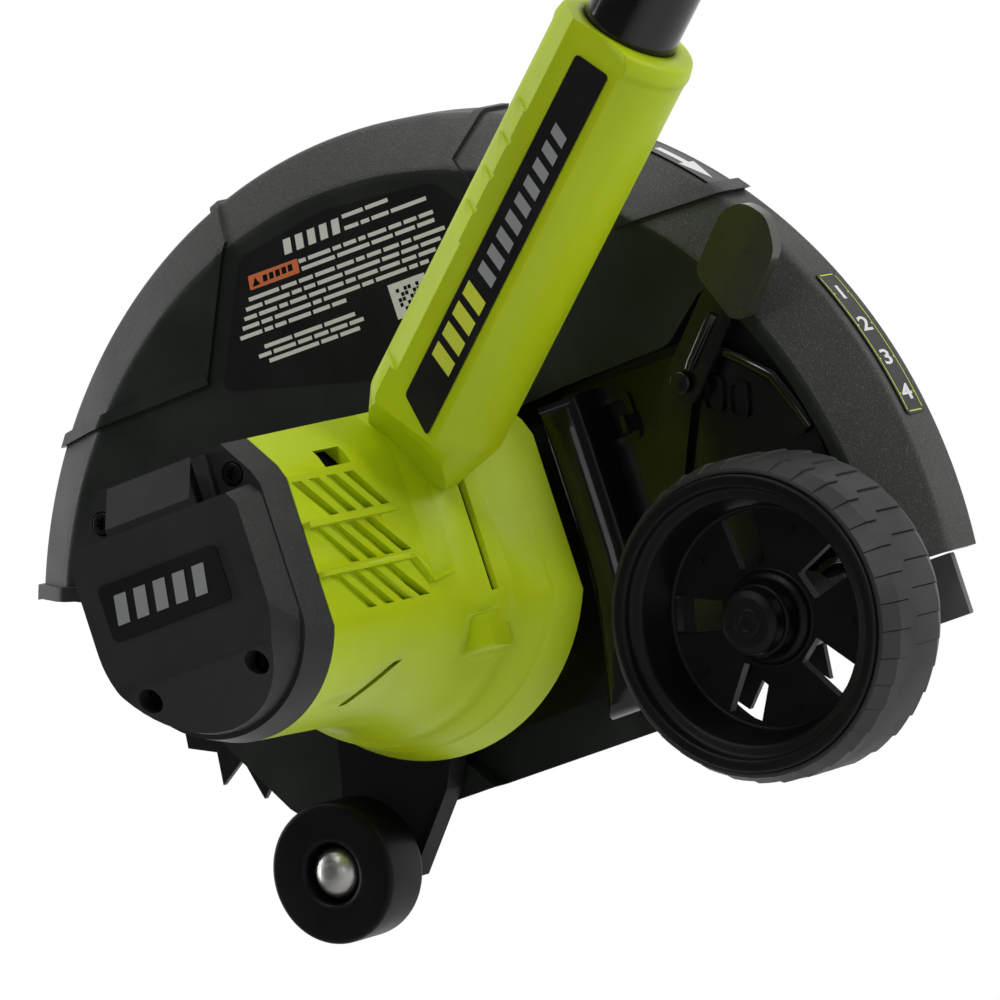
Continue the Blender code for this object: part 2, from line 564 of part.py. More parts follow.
def front_wheel():
    """Fixed steel arm with a folded edge, the solid front wheel and its dome-headed axle."""
    arm_low, arm_high = -0.0345, -0.0318
    outline = [(-0.0440, 0.0020), (-0.0280, 0.0080), (-0.0275, -0.0200), (-0.0090, -0.0225), (-0.0150, -0.0330),
               (-0.0350, -0.0530), *arc(SMALL_X, SMALL_Z, 0.0110, 320, 170, 6), (-0.0500, -0.0200)]
    hole = [(x + SMALL_X, z + SMALL_Z) for x, z in round_hole(0.0042, 12)]
    bolt = [(x - 0.0360, z - 0.0030) for x, z in round_hole(0.0020, 10)]
    arm = plate("front_wheel_arm", outline, arm_low, arm_high, BLACK_STEEL, holes=[hole, bolt])
    fold = [(-0.0090, -0.0225), (-0.0150, -0.0330), (-0.0350, -0.0530), (-0.0332, -0.0545), (-0.0130, -0.0340),
            (-0.0068, -0.0232)]
    join(arm, plate("fold", fold, -0.0405, arm_high))
    origin = (SMALL_X, 0, SMALL_Z)
    front, back = SMALL_FRONT_Y, SMALL_BACK_Y
    profile = [(0.0044, front + 0.0060), (0.0085, front + 0.0060), (0.0092, front), (SMALL_R - 0.0018, front),
               (SMALL_R, front + 0.0018), (SMALL_R, back - 0.0018), (SMALL_R - 0.0018, back), (0.0044, back)]
    lathe("front_wheel", profile, BLACK_PLASTIC, origin=origin, steps=40)
    dome = [(0, front + 0.0012)] + [(0.0062 * math.sin(a), front + 0.0050 - 0.0038 * math.cos(a))
                                   for a in [math.radians(x) for x in (25, 50, 75, 90)]]
    axle = dome + [(0.0062, front + 0.0057), (0.0040, front + 0.0057), (0.0040, -0.0270), (0, -0.0270)]
    lathe("front_axle", axle, STEEL, origin=origin, steps=20)
    hexagon = arc(0, 0, 0.0070, 0, 300, 6)
    plate("front_axle_nut", hexagon, arm_high + GAP, arm_high + 0.0042, STEEL, origin=origin,
          holes=[round_hole(0.0042, 12)])


# ---- shaft and handles --------------------------------------------------------------------
def shaft():
    """Two tubes joined by a clamp collar with a knob."""
    bore = TUBE_R - 0.0015
    ring("lower_tube", bore, TUBE_R, 0.082, COUPLER_S - GAP, BLACK_STEEL, shaft_frame, along="X")
    ring("upper_tube", bore, TUBE_R, COUPLER_S, HANDLE_S + 0.040, BLACK_STEEL, shaft_frame, along="X")
    inner = TUBE_R + GAP
    half = 0.045
    profile = [(inner, -half), (0.0175, -half), (0.0200, -half + 0.004), (0.0200, half - 0.004),
               (0.0175, half), (inner, half)]
    collar = lathe("shaft_coupler", profile, CHARCOAL, shaft_frame, (COUPLER_S, 0, 0), along="X", steps=32)
    ears = block("ears", (0.060, 0.018, 0.018), (0, -0.022, 0), parent=shaft_frame, origin=(COUPLER_S, 0, 0))
    ear_bore = disc("ear_bore", inner, -0.06, 0.06, parent=shaft_frame, origin=(COUPLER_S, 0, 0), along="X")
    join(collar, cut(ears, ear_bore))
    cut(collar, disc("bolt_hole", 0.0032, -0.1, -0.018, parent=shaft_frame, origin=(COUPLER_S, 0, 0), steps=12))
    smooth(collar)
    knob("coupler_knob", (COUPLER_S, -0.0316, 0))


def knob(name, place):
    """Six-lobed clamp knob with a bolt, turning about Y."""
    lobes = []
    for i in range(48):
        angle = 2 * math.pi * i / 48
        radius = 0.0165 + 0.0018 * math.cos(6 * angle)
        lobes.append((radius * math.cos(angle), radius * math.sin(angle)))
    head = plate(name, lobes, -0.0130, 0, CHARCOAL, shaft_frame, place)
    join(head, disc("bolt", 0.0028, -0.0010, 0.0100, parent=shaft_frame, origin=place, steps=12))
    return head


FRONT_HANDLE_S = 0.860


def front_handle():
    """Loop handle clamped to the upper tube, with the clamp's second half and its knob."""
    place = (FRONT_HANDLE_S, 0, 0)
    inner = TUBE_R + GAP
    half_width, reach = 0.058, 0.115
    corner = 0.030
    side = [(0, -0.0205, 0.0120), (0, -0.0400, 0.0160), (0, -half_width, 0.0340)]
    turn = [(0, -half_width + corner * (1 - math.cos(a)), reach - corner + corner * math.sin(a))
            for a in [math.radians(x) for x in (0, 22.5, 45, 67.5, 90)]]
    left = side + turn
    right = [(x, -y, z) for x, y, z in reversed(left)]
    loop = tube_path("front_handle", left + right, 0.0115, BLACK_PLASTIC, shaft_frame, place, resolution=3)
    foot = block("foot", (0.044, 0.056, 0.0200), (0, 0, 0.0112), parent=shaft_frame, origin=place)
    join(loop, foot)
    cut(loop, disc("clamp_bore", inner, -0.1, 0.1, parent=shaft_frame, origin=place, along="X"))
    cut(loop, disc("hole", 0.0034, -0.05, 0.05, parent=shaft_frame,
                   origin=(FRONT_HANDLE_S, -0.0210, 0), along="Z", steps=12))
    smooth(loop)
    clamp = block("handle_clamp", (0.044, 0.056, 0.0180), (0, 0, -0.0100), CHARCOAL, shaft_frame, place)
    cut(clamp, disc("clamp_bore", inner, -0.1, 0.1, parent=shaft_frame, origin=place, along="X"))
    cut(clamp, disc("hole", 0.0034, -0.05, 0.05, parent=shaft_frame,
                    origin=(FRONT_HANDLE_S, -0.0210, 0), along="Z", steps=12))
    smooth(clamp)
    knob_z = -0.0194
    spin = [(0.0165 + 0.0018 * math.cos(6 * a), a) for a in [2 * math.pi * i / 48 for i in range(48)]]
    lobes = [(r * math.cos(a), r * math.sin(a)) for r, a in spin]
    head = plate("handle_knob", lobes, 0, 0.0110, CHARCOAL, shaft_frame, (FRONT_HANDLE_S, -0.0210, knob_z))
    join(head, disc("bolt", 0.0029, -0.0300, 0.0010, parent=shaft_frame,
                    origin=(FRONT_HANDLE_S, -0.0210, knob_z), steps=12))
    head.data.transform(Matrix.Rotation(math.radians(-90), 4, "X"))


def handle_outline():
    """Side view of the rear handle: neck, grip, tail and lower guard bar."""
    return [(HANDLE_S - 0.010, -0.0200), (HANDLE_S - 0.010, 0.0200), (HANDLE_S + 0.050, 0.0260),
            (HANDLE_S + 0.110, 0.0230), (HANDLE_S + 0.210, 0.0240), (HANDLE_S + 0.262, 0.0320),
            (HANDLE_S + 0.305, 0.0300), (HANDLE_S + 0.330, 0.0100), (HANDLE_S + 0.330, -0.0280),
            (HANDLE_S + 0.238, -0.0280), (HANDLE_S + 0.238, -0.0800), (HANDLE_S + 0.210, -0.0880),
            (HANDLE_S + 0.100, -0.0680), (HANDLE_S + 0.040, -0.0330)]


def hand_hole():
    """The opening that the fingers go through."""
    return [(HANDLE_S + 0.075, -0.0100), (HANDLE_S + 0.075, -0.0300), (HANDLE_S + 0.110, -0.0520),
            (HANDLE_S + 0.205, -0.0680), (HANDLE_S + 0.218, -0.0600), (HANDLE_S + 0.218, -0.0180),
            (HANDLE_S + 0.205, -0.0100)]


TRIGGER_PIVOT = (HANDLE_S + 0.0830, 0.0060)


def rear_handle():
    """Two mirrored half shells around the tube, switch, trigger and lock-off button."""
    depth = 0.0190
    for side, name in ((-1, "handle_left"), (1, "handle_right")):
        near, far = sorted((side * GAP / 2, side * depth))
        half = plate(name, handle_outline(), near, far, LIME, shaft_frame, holes=[hand_hole()])
        cut(half, disc("tube_bore", TUBE_R + GAP, HANDLE_S - 0.1, HANDLE_S + 0.0405, parent=shaft_frame, along="X"))
        pocket = [(HANDLE_S + 0.0700, -0.0200), (HANDLE_S + 0.0700, 0.0130), (HANDLE_S + 0.1750, 0.0130),
                  (HANDLE_S + 0.1750, -0.0060), (HANDLE_S + 0.1350, -0.0060), (HANDLE_S + 0.1350, -0.0200)]
        cut(half, plate("pocket", pocket, -0.0085, 0.0085, parent=shaft_frame))
        cut(half, block("lock_slot", (0.0140, 0.0100, 0.0300), (HANDLE_S + 0.155, 0, 0.0200), parent=shaft_frame))
        smooth(half)
    pivot = (TRIGGER_PIVOT[0], 0, TRIGGER_PIVOT[1])
    lever = [(-0.0060, 0.0040), (-0.0060, -0.0200), (0.0050, -0.0290), (0.0240, -0.0250), (0.0440, -0.0240),
             (0.0440, -0.0120), (0.0060, -0.0040), (0.0060, 0.0040)]
    plate("trigger", lever, -0.0078, 0.0078, BLACK_PLASTIC, shaft_frame, pivot)
    block("switch_block", (0.0220, 0.0150, 0.0090), (HANDLE_S + 0.120, 0, 0.0070), BLACK_PLASTIC, shaft_frame)
    turns, steps, radius = 4, 40, 0.0025
    low, high = -0.0034, 0.0018
    coil = [(radius * math.cos(2 * math.pi * turns * i / steps), radius * math.sin(2 * math.pi * turns * i / steps),
             low + (high - low) * i / steps) for i in range(steps + 1)]
    tube_path("trigger_spring", coil, 0.0004, STEEL, shaft_frame, (HANDLE_S + 0.1220, 0, 0.0), resolution=1)
    button = block("lock_off_button", (0.0132, 0.0092, 0.0200), (0, 0, 0), CHARCOAL, shaft_frame,
                   (HANDLE_S + 0.155, 0, 0.0215))
    return button


def battery():
    """Slide-on pack under the handle's tail, with a squeeze latch on each side."""
    place = (BATTERY_S, 0, BATTERY_TOP)
    pack = block("battery_pack", (0.0900, 0.0740, 0.0620), (0.0450, 0, -0.0330), CHARCOAL, shaft_frame, place, 0.004)
    join(pack, block("terminal_rail", (0.0780, 0.0400, 0.0040), (0.0420, 0, -0.0017), parent=shaft_frame, origin=place))
    for side in (-1, 1):
        cut(pack, block("latch_pocket", (0.0264, 0.0080, 0.0164), (0.0480, side * 0.0370, -0.0220),
                        parent=shaft_frame, origin=place))
    for side, name in ((-1, "latch_left"), (1, "latch_right")):
        block(name, (0.0256, 0.0045, 0.0156), (0, side * 0.0016, 0), LIME, shaft_frame,
              (BATTERY_S + 0.0480, side * 0.0370, BATTERY_TOP - 0.0220))
    return pack


guard()
guard_trim()
motor_housing()
end_cap()
housing_trim()
drive()
blade()
wheel_bracket()
depth_lever()
rear_wheel()
front_wheel()
shaft()
front_handle()
rear_handle()
battery()
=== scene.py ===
"""Looks of the battery lawn edger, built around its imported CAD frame.

Same frame as the CAD: +Z up, +X to the rear, -Y the motor side, origin on the blade's axis at
the spindle's free end. Lengths are metres unless a helper says millimetres.
"""
import json
import math

import bmesh
import bpy
from mathutils import Matrix, Vector


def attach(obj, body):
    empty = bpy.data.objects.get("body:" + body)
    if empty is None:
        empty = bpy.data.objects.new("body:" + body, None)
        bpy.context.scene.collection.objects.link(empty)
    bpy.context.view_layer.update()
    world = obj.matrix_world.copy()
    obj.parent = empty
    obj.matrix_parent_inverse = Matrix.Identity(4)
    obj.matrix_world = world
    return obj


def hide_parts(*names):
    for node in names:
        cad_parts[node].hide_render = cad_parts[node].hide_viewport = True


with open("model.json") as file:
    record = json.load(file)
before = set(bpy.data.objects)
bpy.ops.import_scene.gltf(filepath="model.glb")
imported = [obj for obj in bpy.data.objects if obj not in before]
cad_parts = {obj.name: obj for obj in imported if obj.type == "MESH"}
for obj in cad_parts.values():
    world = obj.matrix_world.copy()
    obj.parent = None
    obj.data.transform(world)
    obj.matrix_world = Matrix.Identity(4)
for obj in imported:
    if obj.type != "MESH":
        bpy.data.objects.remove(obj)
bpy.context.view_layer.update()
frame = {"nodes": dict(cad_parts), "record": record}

# ---- sizes shared with the CAD ------------------------------------------------------------
MM = 0.001
GUARD_R, GUARD_FACE_R = 154.6, 139.0
FACE_Y, RIM_Y, BACK_Y = -30.0, -18.0, -4.0
SHELL = 3.0
GUARD_STEPS = 288  # facets round the rim
RECESS_Y = -23.0
GUARD_SCREWS = ((-40, 26), (-24, 62), (22, 68))
FILM, INK, RIM_SLICE = 0.35, 0.05, 2.0  # label film, its ink, and the length of one flat on the rim
MOTOR_Z = 26.0
BASE_Y, CASE_Y, SEAM_Y, LEDGE_Y, CAP_Y = -42.0, -52.0, -137.0, -148.0, -160.0
PLATE_Y, PLATE_T, NOSE_R = -26.2, 2.4, 17.0
WHEEL = (123.5, -20.0)
WHEEL_R, WHEEL_FRONT, WHEEL_BACK = 44.5, -86.0, -51.0
SMALL = (-46.0, -46.5)
SMALL_R, SMALL_FRONT, SMALL_BACK = 20.3, -60.5, -43.0
SHAFT_ANGLE, SHAFT_Y = math.radians(39.0), -78.0
BOSS_R, BOSS_END, TUBE_R = 20.0, 184.0, 13.5
COUPLER_S, LOOP_S, HANDLE_S, BATTERY_S, BATTERY_TOP = 640.0, 860.0, 1150.0, 1395.0, -28.6
LEVER_PIN = (98.0, 51.5)
BLADE_R = 114.3
LEVER_ANGLE = 43.0  # degrees


def rotation(degrees, axis):
    """Turn about X, Y or Z."""
    return Matrix.Rotation(math.radians(degrees), 4, axis)


QUARTER_X = rotation(90, "X")
SHAFT = Matrix.Translation((0, SHAFT_Y, MOTOR_Z)) @ Matrix.Rotation(-SHAFT_ANGLE, 4, "Y")


def along_shaft(distance):
    """Place on the shaft's axis, at a distance from the motor's axis."""
    return SHAFT @ Matrix.Translation((distance, 0, 0))


# ---- materials ----------------------------------------------------------------------------
def new_material(name, colour, roughness, metallic=0.0, specular=0.5, coat=0.0):
    """Principled material; the textures below are added to it."""
    mat = bpy.data.materials.new(name)
    mat.use_nodes = True
    shader = mat.node_tree.nodes["Principled BSDF"]
    shader.inputs["Base Color"].default_value = (*colour, 1)
    shader.inputs["Roughness"].default_value = roughness
    shader.inputs["Metallic"].default_value = metallic
    shader.inputs["Specular IOR Level"].default_value = specular
    shader.inputs["Coat Weight"].default_value = coat
    shader.inputs["Coat Roughness"].default_value = 0.12
    return mat


def noise(mat, scale, detail=3.0, stretch=(1, 1, 1)):
    """Noise in object space; `scale` is in features per metre."""
    nodes, links = mat.node_tree.nodes, mat.node_tree.links
    place = nodes.new("ShaderNodeTexCoord")
    mapping = nodes.new("ShaderNodeMapping")
    mapping.inputs["Scale"].default_value = stretch
    texture = nodes.new("ShaderNodeTexNoise")
    texture.inputs["Scale"].default_value = scale
    texture.inputs["Detail"].default_value = detail
    links.new(place.outputs["Object"], mapping.inputs["Vector"])
    links.new(mapping.outputs["Vector"], texture.inputs["Vector"])
    return texture.outputs["Fac"]


def remap(owner, factor, low, high, out_low, out_high):
    """Stretch a factor from low..high to out_low..out_high, in a material's or a world's nodes."""
    node = owner.node_tree.nodes.new("ShaderNodeMapRange")
    node.inputs["From Min"].default_value = low
    node.inputs["From Max"].default_value = high
    node.inputs["To Min"].default_value = out_low
    node.inputs["To Max"].default_value = out_high
    owner.node_tree.links.new(factor, node.inputs["Value"])
    return node.outputs["Result"]


def vary_colour(mat, factor, first, second, low=0.35, high=0.65):
    """Base colour runs from first to second as the factor goes from low to high."""
    ramp = mat.node_tree.nodes.new("ShaderNodeValToRGB")
    ramp.color_ramp.elements[0].position = low
    ramp.color_ramp.elements[1].position = high
    ramp.color_ramp.elements[0].color = (*first, 1)
    ramp.color_ramp.elements[1].color = (*second, 1)
    mat.node_tree.links.new(factor, ramp.inputs["Fac"])
    shader = mat.node_tree.nodes["Principled BSDF"]
    mat.node_tree.links.new(ramp.outputs["Color"], shader.inputs["Base Color"])


def vary_roughness(mat, factor, smooth_value, rough_value, low=0.3, high=0.7):
    """Roughness runs between two values with the factor."""
    shader = mat.node_tree.nodes["Principled BSDF"]
    mat.node_tree.links.new(remap(mat, factor, low, high, smooth_value, rough_value),
                            shader.inputs["Roughness"])


def emboss(mat, factor, depth, strength=0.5):
    """Bump from a factor; depth in metres. A second call stacks on the first."""
    nodes, links = mat.node_tree.nodes, mat.node_tree.links
    shader = nodes["Principled BSDF"]
    bump = nodes.new("ShaderNodeBump")
    bump.inputs["Strength"].default_value = strength
    bump.inputs["Distance"].default_value = depth
    links.new(factor, bump.inputs["Height"])
    if shader.inputs["Normal"].links:
        links.new(shader.inputs["Normal"].links[0].from_socket, bump.inputs["Normal"])
    links.new(bump.outputs["Normal"], shader.inputs["Normal"])


def moulded(name, colour, roughness, grain, specular=0.4, contrast=0.12, coat=0.0):
    """Moulded plastic: slight colour drift, uneven gloss, and a spark-eroded grain of that depth."""
    mat = new_material(name, colour, roughness, 0.0, specular, coat)
    darker = tuple(c * (1 - contrast) for c in colour)
    lighter = tuple(min(1, c * (1 + contrast)) for c in colour)
    vary_colour(mat, noise(mat, 28, 4), darker, lighter)
    vary_roughness(mat, noise(mat, 60, 3), roughness - 0.06, roughness + 0.07)
    emboss(mat, noise(mat, 1500, 2), grain, 0.6)
    emboss(mat, noise(mat, 22, 2), 0.0004, 0.15)
    return mat


def speckled(name, colour, fleck, roughness, grain, share):
    """Coarse textured plastic with pale flecks where the grain catches."""
    mat = moulded(name, colour, roughness, grain)
    vary_colour(mat, noise(mat, 2300, 2), colour, fleck, 0.60 - share, 0.80)
    return mat


def metal(name, colour, roughness, stretch, scratches=0.00002):
    """Bare metal with fine lay lines along one direction."""
    mat = new_material(name, colour, roughness, 1.0)
    vary_colour(mat, noise(mat, 40, 4), tuple(c * 0.86 for c in colour), colour)
    vary_roughness(mat, noise(mat, 300, 3, stretch), roughness - 0.08, roughness + 0.12)
    emboss(mat, noise(mat, 600, 2, stretch), scratches, 0.4)
    return mat


LIME = moulded("lime_plastic", (0.40, 0.51, 0.002), 0.42, 0.00003, 0.30, 0.05)
CHARCOAL = moulded("charcoal_plastic", (0.0140, 0.0140, 0.0142), 0.50, 0.00005, 0.32, 0.18)
CHARCOAL_GRAIN = speckled("charcoal_grain", (0.0120, 0.0120, 0.0122), (0.060, 0.061, 0.060), 0.62,
                          0.00016, 0.03)
GUARD_FACE = moulded("guard_face", (0.0105, 0.0140, 0.0112), 0.36, 0.00004, 0.30, 0.20)
GUARD_RIM = speckled("guard_rim", (0.026, 0.0285, 0.025), (0.100, 0.103, 0.094), 0.50, 0.00012, 0.07)
BLACK = moulded("black_plastic", (0.0032, 0.0032, 0.0033), 0.44, 0.00004, 0.14, 0.20)
RUBBER = moulded("tread_rubber", (0.0095, 0.0095, 0.0097), 0.52, 0.00006, 0.34, 0.25)
FLAP_RUBBER = moulded("flap_rubber", (0.11, 0.11, 0.11), 0.55, 0.00005, 0.40, 0.15)
ARM_BLACK = moulded("arm_black", (0.0030, 0.0030, 0.0031), 0.55, 0.00003, 0.12, 0.15)
OLIVE = moulded("olive_plastic", (0.026, 0.029, 0.016), 0.28, 0.00002, 0.42, 0.10, 0.2)
LABEL = moulded("label_film", (0.0060, 0.0064, 0.0066), 0.32, 0.00001, 0.28, 0.15)
WHITE_INK = moulded("white_ink", (0.62, 0.63, 0.63), 0.45, 0.00001, 0.3, 0.04)
GREY_INK = moulded("grey_ink", (0.24, 0.245, 0.25), 0.40, 0.00001, 0.3, 0.06)
YELLOW_INK = moulded("yellow_ink", (0.50, 0.56, 0.04), 0.45, 0.00001, 0.3, 0.05)
ORANGE_INK = moulded("orange_ink", (0.62, 0.16, 0.06), 0.45, 0.00001, 0.3, 0.05)
# black for printed marks, and painted shade inside the barrel and its slits
SHADE_AND_INK_BLACK = moulded("painted_shade_and_ink_black", (0.004, 0.004, 0.004), 0.8, 0.00004, 0.1, 0.1)
STEEL = metal("bright_steel", (0.50, 0.49, 0.47), 0.34, (1, 12, 1))
BRASS = metal("brass", (0.62, 0.46, 0.20), 0.32, (12, 1, 12))
ALUMINIUM = metal("cast_aluminium", (0.55, 0.56, 0.57), 0.46, (1, 1, 1), 0.00008)
BLADE_STEEL = metal("blade_steel", (0.030, 0.030, 0.032), 0.42, (14, 1, 1), 0.00004)


def painted_steel():
    """Glossy black paint with a faint orange peel and dusty patches."""
    mat = new_material("black_paint", (0.0030, 0.0030, 0.0031), 0.15, 0.0, 0.32, 0.15)
    vary_colour(mat, noise(mat, 35, 5), (0.0026, 0.0026, 0.0027), (0.0055, 0.0055, 0.0053))
    vary_roughness(mat, noise(mat, 90, 4), 0.11, 0.22)
    emboss(mat, noise(mat, 380, 2), 0.00005, 0.35)
    return mat


PAINT = painted_steel()

SLOT_LOOK = {"lime_plastic": LIME, "charcoal_plastic": CHARCOAL, "guard_plastic": GUARD_FACE,
             "black_plastic": BLACK, "black_steel": PAINT, "blade_steel": BLADE_STEEL, "steel": STEEL,
             "aluminium": ALUMINIUM, "brass": BRASS, "rubber": RUBBER, "label": LABEL,
             "olive_plastic": OLIVE}
NODE_SLOT = {part["node"]: part["material_slot"] for part in frame["record"]["subparts"]}


# ---- modelling tools: all lengths in millimetres --------------------------------------------
def add_object(name, data):
    """New object in the scene."""
    obj = bpy.data.objects.new(name, data)
    bpy.context.scene.collection.objects.link(obj)
    return obj


def evaluated_mesh(obj):
    """Mesh of an object as its modifiers leave it."""
    bpy.context.view_layer.update()
    return bpy.data.meshes.new_from_object(obj.evaluated_get(bpy.context.evaluated_depsgraph_get()))


def curve_mesh(name, curve):
    """Mesh of a filled curve or of letters."""
    holder = add_object(name, curve)
    mesh = evaluated_mesh(holder)
    bpy.data.objects.remove(holder, do_unlink=True)
    return mesh


def bridge(bm, rows, closed=False, skip=()):
    """Quads between neighbouring rows of vertices, except columns in `skip`; closed joins last to first."""
    count = len(rows[0])
    for near, far in zip(rows, rows[1:] + (rows[:1] if closed else [])):
        for i in range(count):
            if i not in skip:
                j = (i + 1) % count
                bm.faces.new((near[i], near[j], far[j], far[i]))


def turned(x, z, degrees):
    """Place at (x, z), turned about Y."""
    return Matrix.Translation((x, 0, z)) @ rotation(degrees, "Y")


def span(side, near, far):
    """Two distances on the given side (1 or -1), lower value first."""
    return sorted((side * near, side * far))


def rect(x1, z1, x2, z2):
    """Outline of a rectangle between two opposite corners."""
    return [(x1, z1), (x2, z1), (x2, z2), (x1, z2)]


def finish_mesh(name, bm, matrix=None):
    """Mesh object in metres from a bmesh in millimetres, moved by `matrix` (in millimetres) first."""
    bmesh.ops.remove_doubles(bm, verts=bm.verts, dist=0.002)
    bmesh.ops.recalc_face_normals(bm, faces=bm.faces)
    mesh = bpy.data.meshes.new(name)
    bm.to_mesh(mesh)
    bm.free()
    if matrix is not None:
        mesh.transform(matrix)
    mesh.transform(Matrix.Scale(MM, 4))
    return add_object(name, mesh)


def arc(cx, cz, radius, start, end, count):
    """Points on an arc; angles in degrees from the first axis towards the second."""
    step = (end - start) / (count - 1)
    angles = [math.radians(start + step * i) for i in range(count)]
    return [(cx + radius * math.cos(a), cz + radius * math.sin(a)) for a in angles]


def soften(points, radius, closed=True, count=4):
    """Replace each corner of an outline by a small curve."""
    out = []
    last = len(points)
    for i, here in enumerate(points):
        if not closed and i in (0, last - 1):
            out.append(tuple(here))
            continue
        here = Vector(here)
        before, after = Vector(points[i - 1]) - here, Vector(points[(i + 1) % last]) - here
        reach = min(radius, before.length * 0.45, after.length * 0.45)
        start, end = here + before.normalized() * reach, here + after.normalized() * reach
        for j in range(count + 1):
            t = j / count
            out.append(tuple((1 - t) ** 2 * start + 2 * t * (1 - t) * here + t * t * end))
    return out


def lathe(name, profile, origin=(0, 0), steps=96, along="Y", matrix=None):
    """Turn a closed profile of (radius, height) about Y through origin (x, z), or about local X."""
    bm = bmesh.new()
    rings = []
    for i in range(steps):
        a = 2 * math.pi * i / steps
        c, s = math.cos(a), math.sin(a)
        if along == "Y":
            rings.append([bm.verts.new((origin[0] + r * c, h, origin[1] + r * s)) for r, h in profile])
        else:
            rings.append([bm.verts.new((h, origin[0] + r * c, origin[1] + r * s)) for r, h in profile])
    after = profile[1:] + profile[:1]
    on_axis = [j for j, (here, there) in enumerate(zip(profile, after)) if max(here[0], there[0]) < 1e-6]
    bridge(bm, rings, closed=True, skip=on_axis)
    bmesh.ops.remove_doubles(bm, verts=bm.verts, dist=0.001)
    bmesh.ops.dissolve_degenerate(bm, edges=bm.edges, dist=0.0005)
    return finish_mesh(name, bm, matrix)


def disc(name, radius, low, high, origin=(0, 0), steps=48, along="Y", matrix=None):
    """Solid cylinder, as lathe() places it."""
    return lathe(name, rect(0, low, radius, high), origin, steps, along, matrix)


def shaft_bore(radius, low, high, matrix):
    """Round cutter along the local X axis."""
    return disc("bore", radius, low, high, steps=64, along="X", matrix=matrix)


def circle(x, z, radius):
    """Outline of a small round hole or head."""
    return arc(x, z, radius, 0, 345, 24)


def plate(name, outline, low, high, matrix=None, holes=()):
    """Outline in the XZ plane, with holes, extruded from y = low to y = high."""
    curve = bpy.data.curves.new(name, "CURVE")
    curve.dimensions = "2D"
    curve.fill_mode = "BOTH"
    curve.extrude = (high - low) / 2
    for loop in [outline, *holes]:
        spline = curve.splines.new("POLY")
        spline.points.add(len(loop) - 1)
        spline.use_cyclic_u = True
        for point, (x, z) in zip(spline.points, loop):
            point.co = (x, z, 0, 1)
    mesh = curve_mesh(name, curve)
    bm = bmesh.new()
    bm.from_mesh(mesh)
    turn = Matrix.Translation((0, (low + high) / 2, 0)) @ QUARTER_X
    bmesh.ops.transform(bm, matrix=turn, verts=bm.verts)
    return finish_mesh(name, bm, matrix)


def block(name, size, centre, matrix=None, round_by=0.0, segments=3):
    """Box of a size about a centre, with rounded edges if `round_by` is given."""
    bm = bmesh.new()
    bmesh.ops.create_cube(bm, size=1.0, matrix=Matrix.Translation(centre) @ Matrix.Diagonal((*size, 1)))
    if round_by:
        bmesh.ops.bevel(bm, geom=list(bm.edges), offset=round_by, segments=segments, affect="EDGES",
                        profile=0.5)
    return finish_mesh(name, bm, matrix)


def tube(name, points, radius, matrix=None, sides=20):
    """Round bar along points, or with one radius for each point."""
    bm = bmesh.new()
    path = [Vector(p) for p in points]
    radii = radius if isinstance(radius, (list, tuple)) else [radius] * len(path)
    rings = []
    side = None
    for i, here in enumerate(path):
        ahead = (path[min(i + 1, len(path) - 1)] - path[max(i - 1, 0)]).normalized()
        guess = side if side is not None else (Vector((0, 1, 0)) if abs(ahead.y) < 0.9
                                               else Vector((1, 0, 0)))
        side = (guess - ahead * guess.dot(ahead)).normalized()
        up = ahead.cross(side)
        rings.append([bm.verts.new(here + radii[i] * (math.cos(a) * side + math.sin(a) * up))
                      for a in [2 * math.pi * k / sides for k in range(sides)]])
    bridge(bm, rings)
    bm.faces.new(rings[0])
    bm.faces.new(rings[-1])
    return finish_mesh(name, bm, matrix)


def loft(name, sections, matrix=None):
    """Skin through sections of equal point count; each is (y, [(x, z), ...])."""
    bm = bmesh.new()
    rows = [[bm.verts.new((x, y, z)) for x, z in outline] for y, outline in sections]
    bridge(bm, rows)
    bm.faces.new(rows[0])
    bm.faces.new(rows[-1])
    return finish_mesh(name, bm, matrix)


def combine(obj, tool, operation):
    """Exact boolean on `obj` itself, with a helper that is then removed."""
    mod = obj.modifiers.new("combine", "BOOLEAN")
    mod.operation = operation
    mod.solver = "EXACT"
    mod.object = tool
    apply(obj)
    bpy.data.objects.remove(tool, do_unlink=True)
    return obj


def cut(obj, tool):
    """Take the helper out of `obj`."""
    return combine(obj, tool, "DIFFERENCE")


def join(obj, tool):
    """Add the helper to `obj`."""
    return combine(obj, tool, "UNION")


def keep(obj, tool):
    """Leave only what `obj` shares with the helper."""
    return combine(obj, tool, "INTERSECT")


def apply(obj):
    """Turn an object's modifiers into mesh."""
    mesh = evaluated_mesh(obj)
    obj.modifiers.clear()
    obj.data = mesh
    return obj


def merge(name, objects):
    """Put several meshes into one object without a boolean."""
    bm = bmesh.new()
    for obj in objects:
        bm.from_mesh(obj.data)
        bpy.data.objects.remove(obj, do_unlink=True)
    mesh = bpy.data.meshes.new(name)
    bm.to_mesh(mesh)
    bm.free()
    return add_object(name, mesh)


def bevel(obj, width, segments=2, angle=35):
    """Round the sharp edges; width in millimetres."""
    mod = obj.modifiers.new("round", "BEVEL")
    mod.width = width * MM
    mod.segments = segments
    mod.limit_method = "ANGLE"
    mod.angle_limit = math.radians(angle)
    mod.harden_normals = True
    return obj


def shade(obj, angle=32):
    """Smooth shading, with edges sharper than the angle kept sharp."""
    obj.data.shade_smooth()
    obj.data.set_sharp_from_angle(angle=math.radians(angle))


def piece(obj, look, body, nodes=(), angle=32):
    """Give a piece its look, body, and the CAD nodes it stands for."""
    shade(obj, angle)
    looks = look if isinstance(look, (list, tuple)) else [look]
    obj.data.materials.clear()
    for mat in looks:
        obj.data.materials.append(mat)
    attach(obj, body)
    if nodes:
        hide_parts(*nodes)
    return obj


